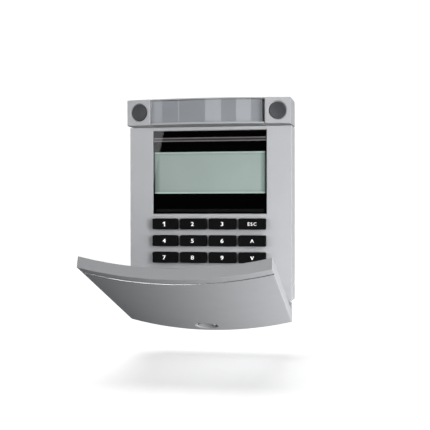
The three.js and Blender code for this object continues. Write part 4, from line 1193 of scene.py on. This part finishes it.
def bar_electronics():
    front, gap = SEGMENT_BOARD_FRONT, WALL + 0.4
    board = plate(-BOARD_HALF, BOARD_HALF, BAR_BOTTOM + gap, BAR_TOP - gap, 0.8, front, front + 1.2, arc=4)
    seat(board, "segment_board", "panel", BOARD)
    back = front - SLIP
    for side, word in ((-1, "left"), (1, "right")):
        x = side * POST_X
        case = soft_box(*around(x, 2.2), back - 2, back, *around(BAR_MIDDLE, 3), 0.15)
        case = join(case, peg(x, BAR_MIDDLE, back - 2.9, back - 1, 1.4, 1.5, sides=32))
        seat(case, f"segment_switch_{word}", "panel", BLACK)
        x = side * BUTTON_LENS_X
        base = soft_box(*around(x, 1.8), back - 1.0, back, *around(BAR_MIDDLE, 1.8), 0.12)
        dome = turned("y", (x, 0, BAR_MIDDLE), [
            (back - 1.6, AXIS_RADIUS), (back - 1.57, 0.5), (back - 1.45, 0.95), (back - 1.2, 1.3),
            (back - 0.8, 1.45), (back - 0.4, 1.45),
        ], 40)
        seat(join(base, dome), f"segment_led_{word}", "panel", WHITE)


def hinge_pins():
    for side, word in ((-1, "left"), (1, "right")):
        start, end = sorted((side * (LUG_INNER + 0.8), side * (FLAP_HALF - PIN_COVER - FIT)))
        r = PIN_RADIUS
        pin = turned("x", (0, HINGE_DEPTH, HINGE_HEIGHT), [
            (start, AXIS_RADIUS), (start, r - 0.35), (start + 0.1, r - 0.12), (start + 0.35, r),
            (end - 0.35, r), (end - 0.1, r - 0.12), (end, r - 0.35), (end, AXIS_RADIUS),
        ], 48)
        seat(pin, f"hinge_pin_{word}", "panel", STEEL)


for build in (
    main_board, small_parts, reader_coil, buzzer, terminal_block, controller_chip, bus_header, tamper_parts,
    activation_pad, display_carrier, keypad_mat, bar_electronics, hinge_pins,
):
    build()
for number, (x, z) in enumerate(BOARD_SCREWS, start=1):
    screw(f"board_screw_{number}", "y", (x, 0, z), BOARD_BACK + FIT + 1.5, WALL + 1, 1.0, 2.4, 1.5)
screw("lock_screw", "z", (0, LOCK_SCREW_DEPTH, 0), -SILL_DROP + 0.3, 7.6, 1.3, 2.4, 1.6)

# ---- room, lights and camera ----

FLOOR_HEIGHT = -34.5
FLOOR_GLOW = 0.66


def floor():
    bm = bmesh.new()
    bmesh.ops.create_grid(bm, x_segments=1, y_segments=1, size=6)
    ground = from_bmesh("floor", bm)
    ground.location.z = (FLOOR_HEIGHT - BAR_TOP / 2) * MM
    nodes = Nodes(bpy.data.materials.new("pale_floor"))
    seen = nodes.add("LightPath").outputs["Is Camera Ray"]
    matt = nodes.add("BsdfDiffuse", {"Color": (0.9, 0.9, 0.9, 1)})
    glow = nodes.add("Emission", {"Color": (1, 1, 1, 1), "Strength": FLOOR_GLOW})
    pale = nodes.add("AddShader", {0: matt, 1: glow})
    dim = nodes.add("Emission", {"Color": grey(140, 3), "Strength": 0.1})
    above = nodes.add("MixShader", {0: seen, 1: dim, 2: pale})
    underside = nodes.add("NewGeometry").outputs["Backfacing"]
    gone = nodes.add("BsdfTransparent")
    either = nodes.add("MixShader", {0: underside, 1: above, 2: gone})
    ground.data.materials.append(nodes.finish(either))
    return ground


def room():
    """White to the camera, a dim soft surround to matt faces and a studio of bright cards to glossy ones."""
    world = bpy.data.worlds.new("studio")
    bpy.context.scene.world = world
    nodes = Nodes(world)
    path = nodes.add("LightPath")
    way = nodes.add("TexCoord").outputs["Generated"]
    axes = nodes.add("SeparateXYZ", {0: way})
    x, y, z = axes.outputs
    azimuth = nodes.maths("DEGREES", nodes.maths("ARCTAN2", x, nodes.maths("MULTIPLY", y, -1.0)))
    climb = nodes.maths("DEGREES", nodes.maths("ARCSINE", z))

    def between(angle, start, end, soft):
        rise = nodes.spread(angle, *around(start, soft))
        return nodes.maths("MULTIPLY", rise, nodes.spread(angle, end + soft, end - soft))

    def strip(left, right, low, high, level, soft):
        """One bright card between two bearings and two heights, all in degrees as seen from the panel."""
        area = nodes.maths("MULTIPLY", between(azimuth, left, right, soft), between(climb, low, high, 0.3))
        return nodes.maths("MULTIPLY", area, level)

    cards = [
        strip(-60, -28.4, 5.2, 12, 1.3, 0.3),
        strip(-21.8, -21.35, 5.2, 12, 2.0, 0.1),
        strip(-10.98, -4.69, 5.2, 12, 2.2, 0.1),
        strip(1.16, 6.98, 5.2, 12, 2.2, 0.1),
        strip(30, 120, -40, 60, 1.1, 8),
        strip(-180, 180, 62, 95, 1.6, 6),
    ]
    glow = 0.012  # the studio's own light between the cards
    for card in cards:
        glow = nodes.maths("ADD", glow, card)
    # one card with a leaning edge, for the reflection that ends at a slant
    slant = nodes.maths("SUBTRACT", azimuth, nodes.maths("MULTIPLY", climb, 0.21))
    leaning = nodes.maths("MULTIPLY", nodes.spread(slant, -14.2, -14.26), nodes.spread(azimuth, -20, -19.5))
    heights = nodes.maths("MULTIPLY", nodes.spread(climb, 5.1, 5.0), nodes.spread(climb, -12, -11))
    leaning = nodes.maths("MULTIPLY", leaning, heights)
    glow = nodes.maths("ADD", glow, nodes.maths("MULTIPLY", leaning, 2.2))
    soft = nodes.add("Background", {"Color": (0.93, 0.96, 1.0, 1), "Strength": 0.02})
    studio = nodes.add("Background", {"Color": (0.97, 0.98, 1.0, 1), "Strength": glow})
    white = nodes.add("Background", {"Color": (1, 1, 1, 1), "Strength": 1.05})
    glossy, camera_ray = path.outputs["Is Glossy Ray"], path.outputs["Is Camera Ray"]
    lit = nodes.add("MixShader", {0: glossy, 1: soft, 2: studio})
    seen = nodes.add("MixShader", {0: camera_ray, 1: lit, 2: white})
    nodes.finish(seen)


def lamp(name, at, towards, size, power, depth=None):
    data = bpy.data.lights.new(name, "AREA")
    data.shape = "RECTANGLE"
    data.size = size
    data.size_y = depth or size
    data.energy = power
    obj = link(name, data)
    obj.location = at
    obj.rotation_euler = (Vector(towards) - Vector(at)).to_track_quat("-Z", "Y").to_euler()
    obj.visible_glossy = False
    return obj


def reach(light, lit, let_through=()):
    """Keeps a light to some objects, and lets it pass through others."""
    receivers = bpy.data.collections.new(f"{light.name}_lights")
    for obj in lit:
        receivers.objects.link(obj)
    light.light_linking.receiver_collection = receivers
    if let_through:
        passed = bpy.data.collections.new(f"{light.name}_passes")
        for obj in let_through:
            passed.objects.link(obj)
        light.light_linking.blocker_collection = passed
        for entry in passed.collection_objects:
            entry.light_linking.link_state = "EXCLUDE"


LAMPS = {
    # name: place, size, then the power that falls on the housing, on the control bar and on the flap
    "near_right": ((0.4, -0.3, -0.05), 0.3, 1.73, 0.0, 0.0),
    "near_left": ((-0.5, -0.35, 0.1), 0.3, 1.5, 1.8, 0.0),
    "high_right": ((0.45, -0.4, 0.35), 0.3, 1.82, 0.0, 0.0),
    "low_right": ((0.32, -0.1, -0.28), 0.2, 0.86, 0.0, 1.46),
    "below": ((0.1, -0.4, -0.6), 0.4, 0.48, 0.0, 0.0),
    "far_right": ((0.9, -0.3, -0.02), 0.25, 0.0, 8.3, 4.93),
    "high_front": ((0.1, -0.8, 0.3), 0.4, 0.0, 1.9, 3.06),
    "overhead": ((0.0, -0.1, 1.0), 0.6, 2.0, 2.0, 0.0),
    "behind": ((-0.35, 0.8, 0.35), 0.5, 7.0, 7.0, 7.0),
}


def lip_glint(ground):
    """The long card whose mirror image runs along the left of the flap's polished lip."""
    lip = bpy.data.objects["flap_groove_lip"]
    obj = lamp("lip_glint", (-0.095, -0.258, -0.245), (0, -0.119, -0.045), 0.15, 0.5, depth=0.12)
    obj.visible_glossy = True
    reach(obj, [lip], [ground])


def soft_boxes(ground):
    outside = [*bar_pieces, *flap_pieces]
    groups = {
        "housing": [obj for obj in seated if obj not in outside],
        "bar": bar_pieces,
        "flap": flap_pieces,
    }
    for name, (at, size, *powers) in LAMPS.items():
        for (group, pieces), power in zip(groups.items(), powers):
            if not power:
                continue
            through = [ground]
            if (name, group) == ("high_right", "housing"):
                through += bar_pieces  # or the bar would darken the housing's upper edge
            reach(lamp(f"{name}_on_{group}", at, (0, -0.02, 0), size, power), pieces, through)


def floor_sun(ground):
    """Even light on the floor alone, soft enough to leave a blurred shadow under the panel."""
    data = bpy.data.lights.new("floor_sun", "SUN")
    data.energy = 1.5
    data.angle = math.radians(50)
    obj = link("floor_sun", data)
    obj.rotation_euler = (math.radians(-10), math.radians(-12), 0)
    reach(obj, [ground])


ground = floor()
room()
soft_boxes(ground)
lip_glint(ground)
floor_sun(ground)


def camera():
    """Stands to the right of the panel, level with its middle, as the photo's camera did."""
    data = bpy.data.cameras.new("camera")
    data.sensor_width = 36
    data.lens = 76.63
    data.shift_x, data.shift_y = 0.0008, -0.0076
    data.clip_end = 30
    obj = link("camera", data)
    obj.location = (0.10188, -0.57877, -0.00609)
    obj.rotation_euler = [math.radians(angle) for angle in (89.88, 0.05, 10.03)]
    bpy.context.scene.camera = obj


camera()
bpy.context.scene.view_settings.view_transform = "Standard"
